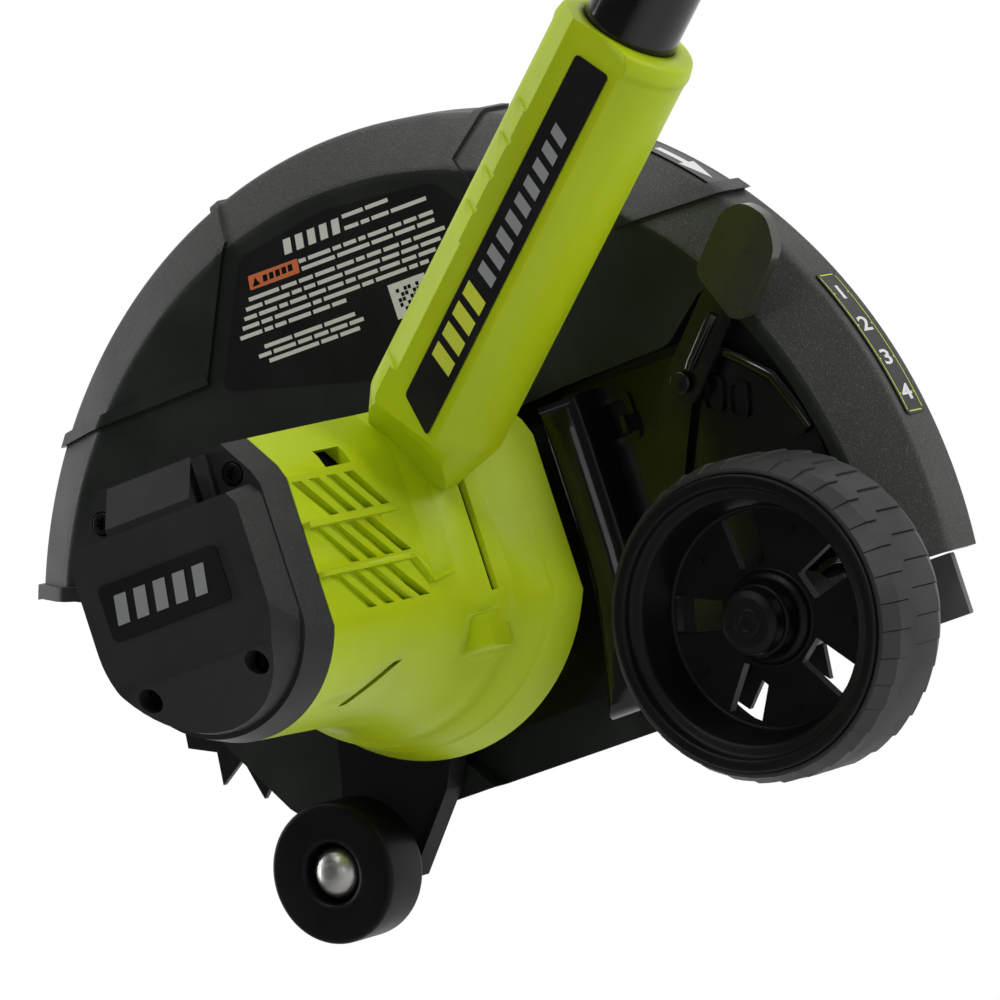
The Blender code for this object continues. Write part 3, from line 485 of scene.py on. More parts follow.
def paint_faces(obj, index, test):
    """Faces whose centre and normal (millimetres) pass the test take material number `index`."""
    for face in obj.data.polygons:
        if test(face.center / MM, face.normal):
            face.material_index = index


# ---- guard --------------------------------------------------------------------------------
def recess_outline(grow):
    """Fan-shaped recess in front of which the wheel bracket swings, as in the CAD."""
    left = arc(0, 0, 30 + grow, 250, 110, 17)
    top = [(34, 61 + grow), (60, 62.6 + grow), (95.6, 63 + grow), (111.5, 74.5 + grow)]
    outer = arc(0, 0, 135.2 + grow, 27, -12, 14)
    return left + top + outer + [(134 + grow, -60), (12 - grow, -60)]


def guard_skin(lift):
    """Profile of the guard's outer skin, raised by `lift`: face, rounded bevel and rim."""
    return soften([(0, FACE_Y - lift), (GUARD_FACE_R + lift * 0.4, FACE_Y - lift),
                   (GUARD_R + lift, RIM_Y - lift * 0.4), (GUARD_R + 0.6 + lift, BACK_Y)], 2.2,
                  closed=False, count=5)


def raised(name, outline, lift):
    """Part of the guard's skin inside an outline, raised by `lift`."""
    inside = [(GUARD_R - 1.2, BACK_Y), (GUARD_R - 1.6, RIM_Y + 0.6), (GUARD_FACE_R - 0.6, FACE_Y + 1),
              (0, FACE_Y + 1)]
    skin = lathe(name, guard_skin(lift) + inside, steps=GUARD_STEPS)
    return keep(skin, plate("outline", outline, -60, 60))


def band(points, width):
    """Outline of a strip of even width along a line."""
    left, right = [], []
    for i, here in enumerate(points):
        before, after = Vector(points[max(i - 1, 0)]), Vector(points[min(i + 1, len(points) - 1)])
        ahead = (after - before).normalized()
        side = Vector((-ahead.y, ahead.x)) * width / 2
        left.append(tuple(Vector(here) + side))
        right.append(tuple(Vector(here) - side))
    return left + right[::-1]


def guard():
    """Half-round shell with a rounded bevel, hoop ribs, the bracket's recess and three screw posts."""
    inner = GUARD_R - SHELL
    inside = [(inner + 0.6, BACK_Y), (inner, RIM_Y + 1), (GUARD_FACE_R - 1.2, FACE_Y + SHELL),
              (0, FACE_Y + SHELL)]
    shell = lathe("guard", guard_skin(0) + inside, steps=GUARD_STEPS)
    join(shell, plate("pad", recess_outline(2), FACE_Y + 1, RECESS_Y + 2.5))
    cut(shell, plate("recess", soften(recess_outline(0), 2.5), FACE_Y - 2, RECESS_Y))
    ribs = [([(-160, 101.5), (-54, 101.5)], 3.4, 1.5),
            ([(-56, 100.2), (-43.5, 122.5), (-35.6, 136.5), (-47, 160)], 2.6, 1.2),
            ([(64, 160), (45.5, 135), (50, 126), (70, 100)], 2.6, 1.2),
            ([(91, 100.6), (160, 100.6)], 3.6, 1.7)]
    for line, width, lift in ribs:  # each stands proud of the skin by its lift
        join(shell, raised("rib", band(line, width), lift))
    bottom = -37.2
    join(shell, raised("foot", band([(-170, 62.6), (-141.3, 62.2), (-118, 55.6)], 4.2), 1.9))
    below = [(-200, 60.4), (-144.3, 60.2), (-123.4, 54.7), (-112, 50), (-100, 20), (-88.2, 0),
             (-73.2, -23.8), (-60, bottom), (68, bottom), (74, -16.5), (200, -16.5), (200, -200),
             (-200, -200)]
    cut(shell, plate("below", below, -100, 100))
    cut(shell, disc("nose_hole", NOSE_R + 0.3, -100, 100, steps=64))
    for x, z in GUARD_SCREWS:
        join(shell, disc("stand", 6.5, BASE_Y + 0.3, FACE_Y + 1, (x, z), 32))
        cut(shell, disc("bore", 2.6, -100, 100, (x, z), 24))
    for x, z, turn in ((-60, 60, 35), (-92, 72, 20), (80, 80, -30)):
        spot = turned(x, z, turn)
        join(shell, block("stiffener", (34, 4, 1.6), (0, FACE_Y + SHELL + 1.5, 0), spot))
    obj = piece(shell, [GUARD_FACE, GUARD_RIM], "machine", ["guard_shell"], angle=28)
    paint_faces(obj, 1, lambda centre,
                _: math.hypot(centre.x, centre.z) > GUARD_FACE_R + 0.2 and centre.z > -20)


def words(rows, low_y, line_height=1.15, word_gap=0.9):
    """Rows of short bars that stand for printed lines; each row is (x, z, slope x, slope z, word lengths)."""
    bars = []
    for x, z, along, lengths in rows:
        ahead, up = Vector((along[0], along[1])).normalized(), Vector((-along[1], along[0])).normalized()
        start = Vector((x, z))
        for length in lengths:
            corner = [start, start + ahead * length, start + ahead * length + up * line_height,
                      start + up * line_height]
            bars.append(plate("word", [tuple(p) for p in corner], low_y - 0.06, low_y))
            start = start + ahead * (length + word_gap)
    return bars


def guard_labels():
    """Information label with plain bars for its lines, an emblem, a notice chip and a white tag."""
    outline = soften([(-50.4, 96.5), (-9.0, 86.0), (41, 73), (52, 92), (45.7, 120.6), (38.7, 130.1),
                      (0, 134.4), (-31.4, 130.5)], 3.0)
    film = plate("info_label_film", outline, FACE_Y - 0.35, FACE_Y - 0.02)
    piece(film, LABEL, "machine", ["info_label"])
    top = FACE_Y - 0.36
    level = (1.0, -0.022)
    rows = [(6.6, 130.0, level, (7.5, 8)), (6.2, 126.6, level, (5, 3, 6, 12.5)),
            (-12.0, 122.7, level, (2.5, 8, 3, 4.5, 2.5, 6.5, 4.5, 4.5, 5)),
            (-11.8, 120.4, level, (12, 11.5, 7.5, 7, 6)),
            (-32.3, 117.8, level, (11, 5.5, 5, 7, 6, 3, 5, 5.5, 3.5, 11)),
            (-34.3, 115.4, level, (6, 9, 3.5, 4, 9, 12.5, 6, 6, 7)),
            (-35.8, 113.0, level, (4.5, 6.5, 3, 6, 6, 5.5, 3.5, 7, 7, 5, 6)),
            (-37.4, 110.6, level, (6, 4, 13, 3, 13, 4, 11, 3, 3)),
            (-39.2, 108.2, level, (8, 3, 4, 8, 6, 5)), (-32.1, 103.5, level, (10, 10, 11)),
            (-35.0, 101.4, level, (4.5, 8, 5, 5, 6, 5)), (-32.0, 99.2, level, (18, 6, 7))]
    text = merge("info_label_lines", words(rows, top))
    piece(text, WHITE_INK, "machine")
    emblem = [plate("stroke", [(x, 126.5), (x + 2.7, 126.5), (x + 3.5, 130.8), (x + 0.8, 130.8)],
                    top - 0.06, top) for x in (-15.8, -11.4, -7.0, -2.6, 1.8)]
    piece(merge("info_label_emblem", emblem), WHITE_INK, "machine")
    chip = plate("notice_chip",
                 soften([(-30.8, 120.7), (-12.8, 120.2), (-12.2, 124.3), (-30.2, 124.8)], 0.4),
                 top - 0.06, top)
    piece(chip, ORANGE_INK, "machine")
    marks = [plate("bar", [(x, 121.6), (x + 1.6, 121.6), (x + 1.9, 123.5), (x + 0.3, 123.5)], top - 0.1,
                   top - 0.06) for x in (-25.6, -23.3, -21.0, -18.7, -16.4)]
    marks.append(plate("triangle", [(-29.6, 121.4), (-26.8, 121.4), (-28.0, 123.8)], top - 0.1, top - 0.06))
    piece(merge("notice_marks", marks), SHADE_AND_INK_BLACK, "machine")
    tag = plate("white_tag", [(14, 97.2), (27, 96.9), (27, 107.1), (14, 107.4)], top - 0.06, top)
    piece(tag, WHITE_INK, "machine")
    squares = [plate("square", rect(x, z, x + 1.1, z + 1.1), top - 0.1, top - 0.06) for x,
               z in [(16.2 + 1.4 * i, 98.8 + 1.4 * j) for i in range(6) for j in range(5)
                     if (i + 2 * j) % 3]]
    piece(merge("white_tag_squares", squares), SHADE_AND_INK_BLACK, "machine")


def on_rim(along, across, lift):
    """Point on the rim: `along` mm from +X towards +Z round the rim, `across` mm in +Y."""
    angle = along / GUARD_R
    radius = GUARD_R + lift
    return radius * math.cos(angle), across, radius * math.sin(angle)


def rim_sheet(name, outline, lift, thick):
    """Flat outline of (across, along) wrapped on the rim."""
    flat = plate(name, outline, 0, thick)
    bm = bmesh.new()
    bm.from_mesh(flat.data)
    bpy.data.objects.remove(flat, do_unlink=True)
    longest = max(z for _, z in outline) - min(z for _, z in outline)
    slices = max(1, int(longest / RIM_SLICE))
    low = min(z for _, z in outline)
    for i in range(1, slices):
        bmesh.ops.bisect_plane(bm, geom=list(bm.verts) + list(bm.edges) + list(bm.faces),
                               plane_co=(0, 0, (low + longest * i / slices) * MM), plane_no=(0, 0, 1))
    for vert in bm.verts:
        across, height, along = vert.co / MM
        vert.co = on_rim(along, across, lift + height)
    return finish_mesh(name, bm)


def glyph(name, text, size):
    """Thin mesh of a plain number, in Blender's built-in letters."""
    curve = bpy.data.curves.new(name, "FONT")
    curve.body = text
    curve.size = size
    curve.align_x = "CENTER"
    curve.align_y = "CENTER"
    curve.offset = 0.12
    curve.extrude = 0.03
    return curve_mesh(name, curve)


def rim_labels():
    """Depth scale 1 to 4 and a plain arrow on the rim."""
    low_y, high_y = RIM_Y + 1.6, BACK_Y - 2.2
    middle = (low_y + high_y) / 2
    scale_low, scale_high = math.radians(8.4) * GUARD_R, math.radians(26.0) * GUARD_R
    lift = 0.30
    strip = soften(rect(low_y, scale_low, high_y, scale_high), 1.6)
    piece(rim_sheet("depth_scale_film", strip, lift, FILM), LABEL, "machine", ["depth_scale_label"])
    arrow_low, arrow_high = math.radians(40.6) * GUARD_R, math.radians(50.5) * GUARD_R
    patch = soften(rect(low_y, arrow_low, high_y, arrow_high), 1.6)
    piece(rim_sheet("arrow_film", patch, lift, FILM), LABEL, "machine", ["arrow_label"])
    ink = lift + 0.36
    lines = []
    edge = 0.35
    inset = 0.7
    for x in (low_y + inset, high_y - inset - edge):
        lines.append(rim_sheet("side", rect(x, scale_low + 1.5, x + edge, scale_high - 1.5), ink, INK))
    for z in (scale_low + inset, scale_high - inset - edge):
        lines.append(rim_sheet("end", rect(low_y + 1.6, z, high_y - 1.6, z + edge), ink, INK))
    numbers = []
    for i in range(4):
        along = math.radians(23.2 - 4.15 * i) * GUARD_R
        for near, far in ((low_y + inset, middle - 3.4), (middle + 3.4, high_y - inset)):
            lines.append(rim_sheet("tick", rect(near, along - 0.2, far, along + 0.2), ink, INK))
        bm = bmesh.new()
        bm.from_mesh(glyph("number", str(i + 1), 6.6))
        for vert in bm.verts:
            vert.co = on_rim(along + vert.co.y, middle + 1.7 * vert.co.x, ink + 0.03 + vert.co.z)
        numbers.append(finish_mesh("number", bm))
    piece(merge("depth_scale_lines", lines), YELLOW_INK, "machine")
    piece(merge("depth_scale_numbers", numbers), WHITE_INK, "machine")
    tip = arrow_low + 4.0
    head, stem, half = 9.5, 10.0, 4.2
    arrow = [(middle, tip), (middle + half, tip + head), (middle + 1.5, tip + head),
             (middle + 1.5, tip + head + stem), (middle - 1.5, tip + head + stem),
             (middle - 1.5, tip + head), (middle - half, tip + head)]
    piece(rim_sheet("arrow_mark", arrow, ink, INK), WHITE_INK, "machine")


def flap():
    """Thin rubber flap that hangs behind the guard, with rounded lower corners."""
    sheet = plate("flap", soften(rect(128, -34.5, 150.2, -16.8), 0.6), -12.2, -10.0)
    piece(bevel(sheet, 0.3), FLAP_RUBBER, "machine", ["rear_flap"])


# ---- motor housing ------------------------------------------------------------------------
def barrel_section(half, radius, low, top, chamfer):
    """Round-bottomed outline: half width, bottom radius, lowest point, flat top, chamfered corners."""
    centre = low + radius
    start = math.degrees(math.acos(half / radius))
    bottom = arc(0, centre, radius, -start, start - 180, 33)
    middle = (bottom[0][1] + top - chamfer) / 2
    roof = [(-half, top - chamfer), (-half + chamfer * 0.12, top - chamfer * 0.7),
            (-half + chamfer * 0.6, top), (0, top), (half - chamfer * 0.6, top),
            (half - chamfer * 0.12, top - chamfer * 0.7), (half, top - chamfer)]
    return bottom + [(-half, middle)] + roof + [(half, middle)]


STATIONS = [(SEAM_Y, 32.0, 34.0, -8.5, 70.0, 14), (-116, 32.8, 34.5, -9.0, 70.3, 14),
            (-100, 33.5, 35.0, -9.5, 70.5, 14), (-86, 34.6, 36.0, -10.8, 70.5, 14),
            (-77, 36.4, 38.0, -13.0, 70.5, 14), (-72, 39.2, 42.2, -15.4, 70.2, 14),
            (-68, 42.6, 45.6, -17.5, 70.0, 14), (-64.6, 44.6, 47.4, -18.4, 69.6, 15),
            (-64.0, 44.9, 48.8, -19.6, 69.5, 15), (CASE_Y - 1.5, 48.4, 52.2, -21.2, 68.6, 16),
            (CASE_Y, 48.9, 54.0, -22.5, 68.5, 16), (BASE_Y, 52.0, 57.5, -26.5, 68.0, 16)]
BARREL_STATIONS = STATIONS[:9]
# The black sheet between the last two depths is painted shade inside the barrel.
HOUSING_WALL, SHADE_SHEET_OUTSIDE, SHADE_SHEET_INSIDE = 2.8, 3.4, 4.2  # depths below the outer skin


def housing_section(station, inset=0):
    """Outline at a station, moved inwards by `inset`."""
    _, half, radius, low, top, chamfer = station
    return barrel_section(half - inset, radius - inset, low + inset, top - inset, chamfer)


def motor_housing():
    """Lime shell: barrel with vents, stepped gearcase and the boss that holds the shaft."""
    shell = loft("housing", [(s[0], housing_section(s)) for s in STATIONS])
    boss_profile = soften([(0, 39), (14, 44), (BOSS_R, 60), (BOSS_R, BOSS_END - 7),
                           (BOSS_R + 0.5, BOSS_END - 5), (BOSS_R - 0.4, BOSS_END - 0.6),
                           (BOSS_R - 3, BOSS_END), (0, BOSS_END)], 1.2, closed=False)
    boss = lathe("boss", boss_profile, steps=96, along="X")
    cut(boss, plate("decal_flat", rect(50, -50, 300, 50), -30, -16.5))
    side_flat = rotation(-42, "X")
    cut(boss, plate("side_flat", rect(70, -50, 300, 50), -30, -18.2, side_flat))
    for i in range(4):
        step = plate("grip", rect(112 + 11 * i, -4.5, 121 + 11 * i, 4.5), -18.9, -17.6, side_flat)
        join(boss, step)
    toe = Matrix.Translation((52, -10, 0)) @ rotation(45, "Z")
    cut(boss, block("toe", (40, 60, 80), (-20, 0, 0), toe))
    boss.data.transform(Matrix.Scale(MM, 4) @ SHAFT @ Matrix.Scale(1 / MM, 4))
    join(shell, boss)
    hollow = [(s[0], housing_section(s, HOUSING_WALL)) for s in STATIONS]
    hollow[0] = (SEAM_Y - 10, hollow[0][1])
    hollow[-1] = (BASE_Y - HOUSING_WALL, hollow[-1][1])
    cut(shell, loft("hollow", hollow))
    join(shell, disc("nose", NOSE_R, BASE_Y - 1, FACE_Y + 12, steps=64))
    cut(shell, disc("spindle_bore", 10.2, -60, 100, steps=48))
    cut(shell, shaft_bore(TUBE_R + 0.35, 80, 300, SHAFT))
    for x, z in GUARD_SCREWS:
        cut(shell, disc("pilot", 2.4, BASE_Y - 20, 0, (x, z), 16))
    vents(shell)


TO_SIDE = Matrix(((0, 1, 0, 0), (-1, 0, 0, 0), (0, 0, 1, 0), (0, 0, 0, 1)))


def side_prism(outline, near_x, far_x):
    """Outline of (y, z) extruded between two x planes."""
    return plate("prism", [(-y, z) for y, z in outline], near_x, far_x, TO_SIDE)


def vents(shell):
    """Slanted cooling slots in three rows, the slit, the lock window and the panel block, both sides."""
    rows = [(54.5, 43.6), (41.0, 29.8), (27.2, 16.6)]
    lean, pitch, gap = 1.15, 8.3, 4.6
    for side in (1, -1):
        for row, (top, bottom) in enumerate(rows):
            for i in range(4):
                y = -136.0 + pitch * i + 2.0 * row
                run = (top - bottom) * lean
                slot = [(y, top), (y + gap, top), (min(y + gap + run, -95.0 + 3.0 * row), bottom),
                        (min(y + run, -98 + 3.0 * row), bottom)]
                cut(shell, side_prism(slot, *span(side, 31.0, 36.5)))
        slit = rect(-70.0, 45.0, -68.4, 13.0)
        cut(shell, side_prism(slit, *span(side, 34, 48)))
        window = rect(-118.0, 56.8, -106.0, 62.2)
        cut(shell, side_prism(window, *span(side, 24, 36)))
        for low, high in ((41.2, 42.8), (27.3, 28.9)):
            rib = rect(-137, low, -93, high)
            join(shell, side_prism(rib, *span(side, 30.6, 34.6)))
        step_rib = [(-94, 28.9), (-94, 27.3), (-88.8, 19.6), (-78, 20.8), (-78, 22.4), (-87.9, 21.3)]
        join(shell, side_prism(step_rib, *span(side, 32, 36.2)))
    block_outline = soften([(-75, -2.0), (-65.5, -3.0), (-65.5, 7.5), (-75, 7.5)], 1.5)
    join(shell, apply(bevel(side_prism(block_outline, 28, 39.6), 1.6, 4, 50)))
    groove = soften([(-121, -6.0), (-117, -6.0), (-100, 1.5), (-104, 1.5)], 1.0)
    cut(shell, side_prism(groove, 12.0, 40.0))
    join(shell,
         loft("groove_floor",
              [(-124, barrel_section(30.6, 32.6, -6.9, 40, 4)),
               (-97, barrel_section(31.6, 33.4, -7.8, 40, 4))]))
    cut(shell,
        loft("groove_core",
             [(-125, barrel_section(29.0, 31.2, -5.5, 60, 4)),
              (-96, barrel_section(30.0, 32.0, -6.4, 60, 4))]))
    piece(shell, LIME, "machine", ["motor_housing"], angle=26)


def housing_inside():
    """Painted shade: a black sheet behind the vents, so the slots read as openings into a dark barrel."""
    sections = [(s[0], housing_section(s, SHADE_SHEET_OUTSIDE)) for s in BARREL_STATIONS]
    # black sheet inside the barrel: painted shade behind the vents and the lock window
    shade_sheet = loft("barrel_painted_shade", sections)
    inner = [(s[0], housing_section(s, SHADE_SHEET_INSIDE)) for s in BARREL_STATIONS]
    inner[0] = (inner[0][0] - 1, inner[0][1])
    inner[-1] = (inner[-1][0] + 1, inner[-1][1])
    piece(cut(shade_sheet, loft("painted_shade_hollow", inner)), SHADE_AND_INK_BLACK, "machine")
    # black strip in each slit: painted shadow
    strips = [side_prism(rect(-70.0, 13.1, -69.0, 44.9), *span(side, 38.0, 40.6))
              for side in (1, -1)]
    piece(merge("slit_shadow", strips), SHADE_AND_INK_BLACK, "machine")


CAP_SCREWS = [(-18.5, 10.4, CAP_Y + 10), (18.5, 10.4, CAP_Y + 10), (-22.8, 61.2, LEDGE_Y + 2),
              (22.8, 61.2, LEDGE_Y + 2)]


def end_cap():
    """Charcoal cap: raised face, upper ledge with its bridge, textured flanks, scoop and screw pockets."""
    rim = barrel_section(32.0, 34.0, -8.5, 70.0, 14)
    seam = SEAM_Y - 0.3
    cap = loft("cap", [(LEDGE_Y, barrel_section(30.5, 31.5, -6.2, 70.0, 14)), (seam, rim)])
    face = barrel_section(29.2, 29.2001, -2.0, 56.0, 4)
    body = loft("cap_body", [(CAP_Y, face), (LEDGE_Y + 4, barrel_section(30.3, 31.1, -5.8, 57.5, 4))])
    slope = Matrix.Translation((0, CAP_Y, 14.5)) @ rotation(24, "X")
    cut(body, block("scoop", (90, 40, 60), (0, -20, -30), slope))
    join(cap, body)
    bridge = plate("bridge", rect(-17.5, 50, 12.0, 69.6), LEDGE_Y - 7.5, LEDGE_Y + 2)
    tilt = Matrix.Translation((0, CAP_Y + 1.0, 53.0)) @ rotation(-32, "X")
    cut(bridge, block("bridge_slope", (90, 40, 60), (0, -20, 30), tilt))
    join(cap, bridge)
    join(cap, block("bridge_end", (3.6, 5, 12.5), (15.4, LEDGE_Y - 1.0, 62.6)))
    inner = barrel_section(29.2, 31.2, -5.7, 67.2, 13)
    core = barrel_section(26.2, 26.2001, 1.2, 53.5, 4)
    cut(cap, loft("cavity", [(CAP_Y + 6, core), (LEDGE_Y + 3, core), (LEDGE_Y + 4, inner), (0, inner)]))
    for x, z, depth in CAP_SCREWS:
        cut(cap, disc("pocket", 3.5, CAP_Y - 10, depth, (x, z), 32))
    obj = piece(bevel(cap, 0.5, 2, 30), [CHARCOAL, CHARCOAL_GRAIN], "machine", ["end_cap"], angle=35)
    paint_faces(obj, 1, lambda centre,
                normal: abs(normal.y) < 0.5 and abs(centre.x) > 29 and centre.y < LEDGE_Y + 6)


def cap_trim():
    """Badge with plain slanted bars, and the cap's black screws with star recesses."""
    badge = soften(rect(-22.6, 28.5, 18.8, 44.2), 2.0)
    piece(plate("badge", badge, CAP_Y - 0.45, CAP_Y - 0.02), LABEL, "machine", ["cap_badge"])
    bars = [plate("bar", [(x, 32.4), (x + 4.1, 32.4), (x + 5.6, 40.6), (x + 1.5, 40.6)], CAP_Y - 0.55,
                  CAP_Y - 0.45) for x in (-19.4, -12.6, -5.8, 1.0, 7.8)]
    piece(merge("badge_bars", bars), GREY_INK, "machine")
    for i, (x, z, depth) in enumerate(CAP_SCREWS):
        head = depth - 0.3
        profile = soften(rect(0, head - 2.2, 3.1, head), 0.5, closed=False)
        screw = lathe(f"cap_screw_{i}", profile, (x, z), 32)
        for j in range(3):
            spin = turned(x, z, 60 * j)
            cut(screw, block("star", (3.4, 2.4, 0.8), (0, head - 2.2, 0), spin))
        piece(screw, BLACK, "machine", [f"cap_screw_{i + 1}"])


def boss_decal():
    """Black strip on the boss with plain slanted bars."""
    strip = soften([(60, -8.5), (66, 3.0), (176, 3.0), (176, -8.5)], 1.4)
    piece(plate("decal_film", strip, -17.0, -16.52, SHAFT), LABEL, "machine", ["housing_decal"])
    lean = 0.34
    lime_bars, grey_bars = [], []
    for i in range(4):
        s = 78 + 6.6 * i
        lime_bars.append(plate("bar",
                               [(s, -6.4), (s + 4.3, -6.4), (s + 4.3 + 7.6 * lean, 1.2),
                                (s + 7.6 * lean, 1.2)], -17.1, -17.0, SHAFT))
    for i in range(9):
        s = 106.5 + 5.6 * i
        high = 0.2 - 0.12 * i
        grey_bars.append(plate("bar",
                               [(s, -5.9), (s + 3.3, -5.9), (s + 3.3 + 6 * lean, high),
                                (s + 6 * lean, high)], -17.1, -17.0, SHAFT))
    piece(merge("decal_lime_bars", lime_bars), YELLOW_INK, "machine")
    piece(merge("decal_grey_bars", grey_bars), GREY_INK, "machine")


# ---- wheel bracket and lever --------------------------------------------------------------
RIDGE_Y = -40.7


def ridge_outline(inset):
    """Outline of the pressed ridge, from its centre line (x, z) and half width."""
    line = [(59.8, 59.2, 7.6), (59.9, 50, 7.6), (59.9, 40, 7.6), (59.9, 28, 7.6), (59.8, 15, 7.6),
            (59.0, 4, 7.75), (57.5, -6, 7.9), (55.7, -14, 7.8), (53.5, -22, 7.6), (50.0, -31, 6.2)]
    line[0] = (line[0][0], line[0][1] - inset, line[0][2])
    line[-1] = (line[-1][0], line[-1][1] + inset, line[-1][2])
    left = [(x - half + inset, z) for x, z, half in line]
    right = [(x + half - inset, z) for x, z, half in reversed(line)]
    return left + right


def wheel_bracket():
    """Stamped plate: a rolled ridge, a raised band, dimples, a tabbed window and a turned rim."""
    outline = [*arc(0, 0, 24.5, 60, 270, 24), (12, -23.5), (40, -23), (52, -35), (62, -39.5), (70, -36),
               (77, -27.5), (105, -25.5), *arc(*WHEEL, 9.4, 235, 370, 12), (131, 27), (124, 45),
               (106, 60), (53, 60), (50, 40), (30, 24)]
    near, far = PLATE_Y - PLATE_T / 2, PLATE_Y + PLATE_T / 2
    window = rect(67.5, 43.5, 75.5, 53.5)
    body = plate("bracket", soften(outline, 3.0), near, far,
                 holes=[arc(0, 0, NOSE_R + 0.3, 0, 354, 60), soften(window, 1.2), circle(*WHEEL, 4.2),
                        arc(*LEVER_PIN, 1.9, 0, 330, 12)])
    levels = [(RIDGE_Y, 5.4), (RIDGE_Y + 0.25, 4.2), (RIDGE_Y + 0.7, 3.1), (RIDGE_Y + 1.4, 2.1),
              (RIDGE_Y + 2.4, 1.3), (RIDGE_Y + 3.8, 0.65), (RIDGE_Y + 6.0, 0.2), (RIDGE_Y + 9.0, 0.0),
              (near + 0.5, 0.0)]
    join(body, loft("ridge", [(y, ridge_outline(inset)) for y, inset in levels]))
    raised_band = soften([(104, 59), (96.0, 55.5), (89.5, 53.0), (83.0, 40), (76.5, 26), (72, 4),
                          (80.5, 4), (86, 24), (91.0, 34), (97.5, 46), (106.5, 52.5)], 2.5)
    step = plate("band", raised_band, near - 2.6, near + 0.5)
    join(body, step)
    for x, z in ((103.6, 46.0), (110.8, 42.0)):
        oval = turned(x, z, 18)
        rim = soften(rect(-3.2, -5.4, 3.2, 5.4), 3.0)
        hole = soften(rect(-2.3, -4.4, 2.3, 4.4), 2.2)
        join(body, plate("oval_rim", rim, near - 1.3, near + 0.4, oval))
        cut(body, plate("oval_floor", hole, near - 4, near - 0.2, oval))
    frame_rim = plate("window_rim", soften(rect(65.6, 41.6, 77.4, 55.4), 2), near - 1.1, near + 0.4,
                      holes=[soften(window, 1.2)])
    join(body, frame_rim)
    join(body, block("tab", (1.6, 5.0, 5.0), (75.0, near - 2.0, 46.5)))
    edge = [(106.5, -29.5, 60.0), (117, -29.6, 51.5), (124.2, -29.6, 44.8), (128.5, -29.4, 34),
            (130.2, -29.0, 28.0)]
    join(body, tube("turned_edge", edge, [1.3, 1.7, 1.8, 1.7, 1.3], sides=16))
    join(body, disc("clip_rivet", 2.6, near - 2.2, near + 0.2, (126.8, 29.5), 24))
    boss = lathe("axle_boss",
                 soften([(4.3, near + 0.2), (12.5, near + 0.2), (10.0, near - 3.2), (4.3, near - 3.2)],
                        0.8), WHEEL, 64)
    join(body, boss)
    piece(bevel(body, 0.35, 2, 40), PAINT, "depth_bracket", ["wheel_bracket"], angle=38)


def lever():
    """Spring strip, its smoked paddle with a rounded crown, the pin and the coil spring."""
    low = PLATE_Y - PLATE_T / 2 - 5.2
    place = turned(*LEVER_PIN, -LEVER_ANGLE)
    outline = soften(rect(-4.5, -5.8, 44, 5.8), 3.0)
    strip = plate("strip", outline, low, low + 1.8, place, holes=[circle(0, 0, 2.6)])
    bead = tube("bead",
                [(4.5, low + 0.4, 0), (7, low - 0.2, 0), (19, low - 0.2, 0), (21.5, low + 0.4, 0)], 1.6,
                place, 16)
    piece(bevel(join(strip, bead), 0.3), PAINT, "lever", ["depth_lever"])
    profile = soften([(24.0, -6.4), (26.0, -10.6), (47.5, -10.6), (55.0, -4.0), (55.0, 4.5), (49.5, 9.4),
                      (30.2, 9.4)], 3.4, count=6)
    paddle = plate("paddle", profile, low - 2.2, low + 2.3, place)
    pocket = block("pocket", (30.0, 2.4, 13.6), (29.7, low + 0.9, 0), place)
    cut(paddle, pocket)
    piece(bevel(paddle, 1.5, 5, 35), OLIVE, "lever", ["lever_grip"], angle=60)
    pin = soften([(0, low - 2.4), (3.1, low - 2.4), (3.1, low - 1.0), (1.6, low - 1.0),
                  (1.6, PLATE_Y + 2.0), (0, PLATE_Y + 2.0)], 0.5, closed=False)
    piece(lathe("lever_pin_turned", pin, LEVER_PIN, 32), PAINT, "depth_bracket", ["lever_pin"])
    turns, count = 2.5, 60
    path = [(LEVER_PIN[0] + 3.3 * math.cos(2 * math.pi * turns * i / count), low + 2.6 + 2.2 * i / count,
             LEVER_PIN[1] + 3.3 * math.sin(2 * math.pi * turns * i / count)) for i in range(count + 1)]
    piece(tube("lever_coil", path, 0.5, sides=8), STEEL, "depth_bracket", ["lever_spring"])


# ---- wheels -------------------------------------------------------------------------------
def tread():
    """Tyre with ratchet-stepped lugs; the step line jogs at mid width."""
    front, back = WHEEL_FRONT + 1.5, WHEEL_BACK
    inner = WHEEL_R - 4.0 + 0.3
    lugs, drop = 36, 0.60
    jog = 0.34
    bounds = [(inner, front, 0, 0), (WHEEL_R - 3.2, front, 0, 0), (WHEEL_R - 2.4, front + 0.3, 0.2, 0),
              (WHEEL_R - 0.5, front + 5.0, 0.9, 0), (WHEEL_R, front + 6.4, 1, 0), (WHEEL_R, -72.2, 1, 0),
              (WHEEL_R, -69.6, 1, jog), (WHEEL_R, back - 5.6, 1, jog),
              (WHEEL_R - 0.6, back - 4.2, 0.9, jog), (WHEEL_R - 2.6, back - 0.3, 0.2, jog),
              (WHEEL_R - 3.4, back, 0, jog), (inner, back, 0, 0)]
    lug = 2 * math.pi / lugs
    samples = [(0.0, 0.0), (0.33, 0.30), (0.66, 0.62), (0.955, 0.95), (0.975, 1.6)]
    bm = bmesh.new()
    rings = []
    for i in range(lugs):
        for share, fall in samples:
            ring = []
            for radius, y, weight, shift in bounds:
                angle = (i + share + shift) * lug
                r = radius - drop * fall * weight
                ring.append(bm.verts.new((WHEEL[0] + r * math.cos(angle), y,
                                          WHEEL[1] + r * math.sin(angle))))
            rings.append(ring)
    bridge(bm, rings, closed=True)
    return finish_mesh("tread", bm)


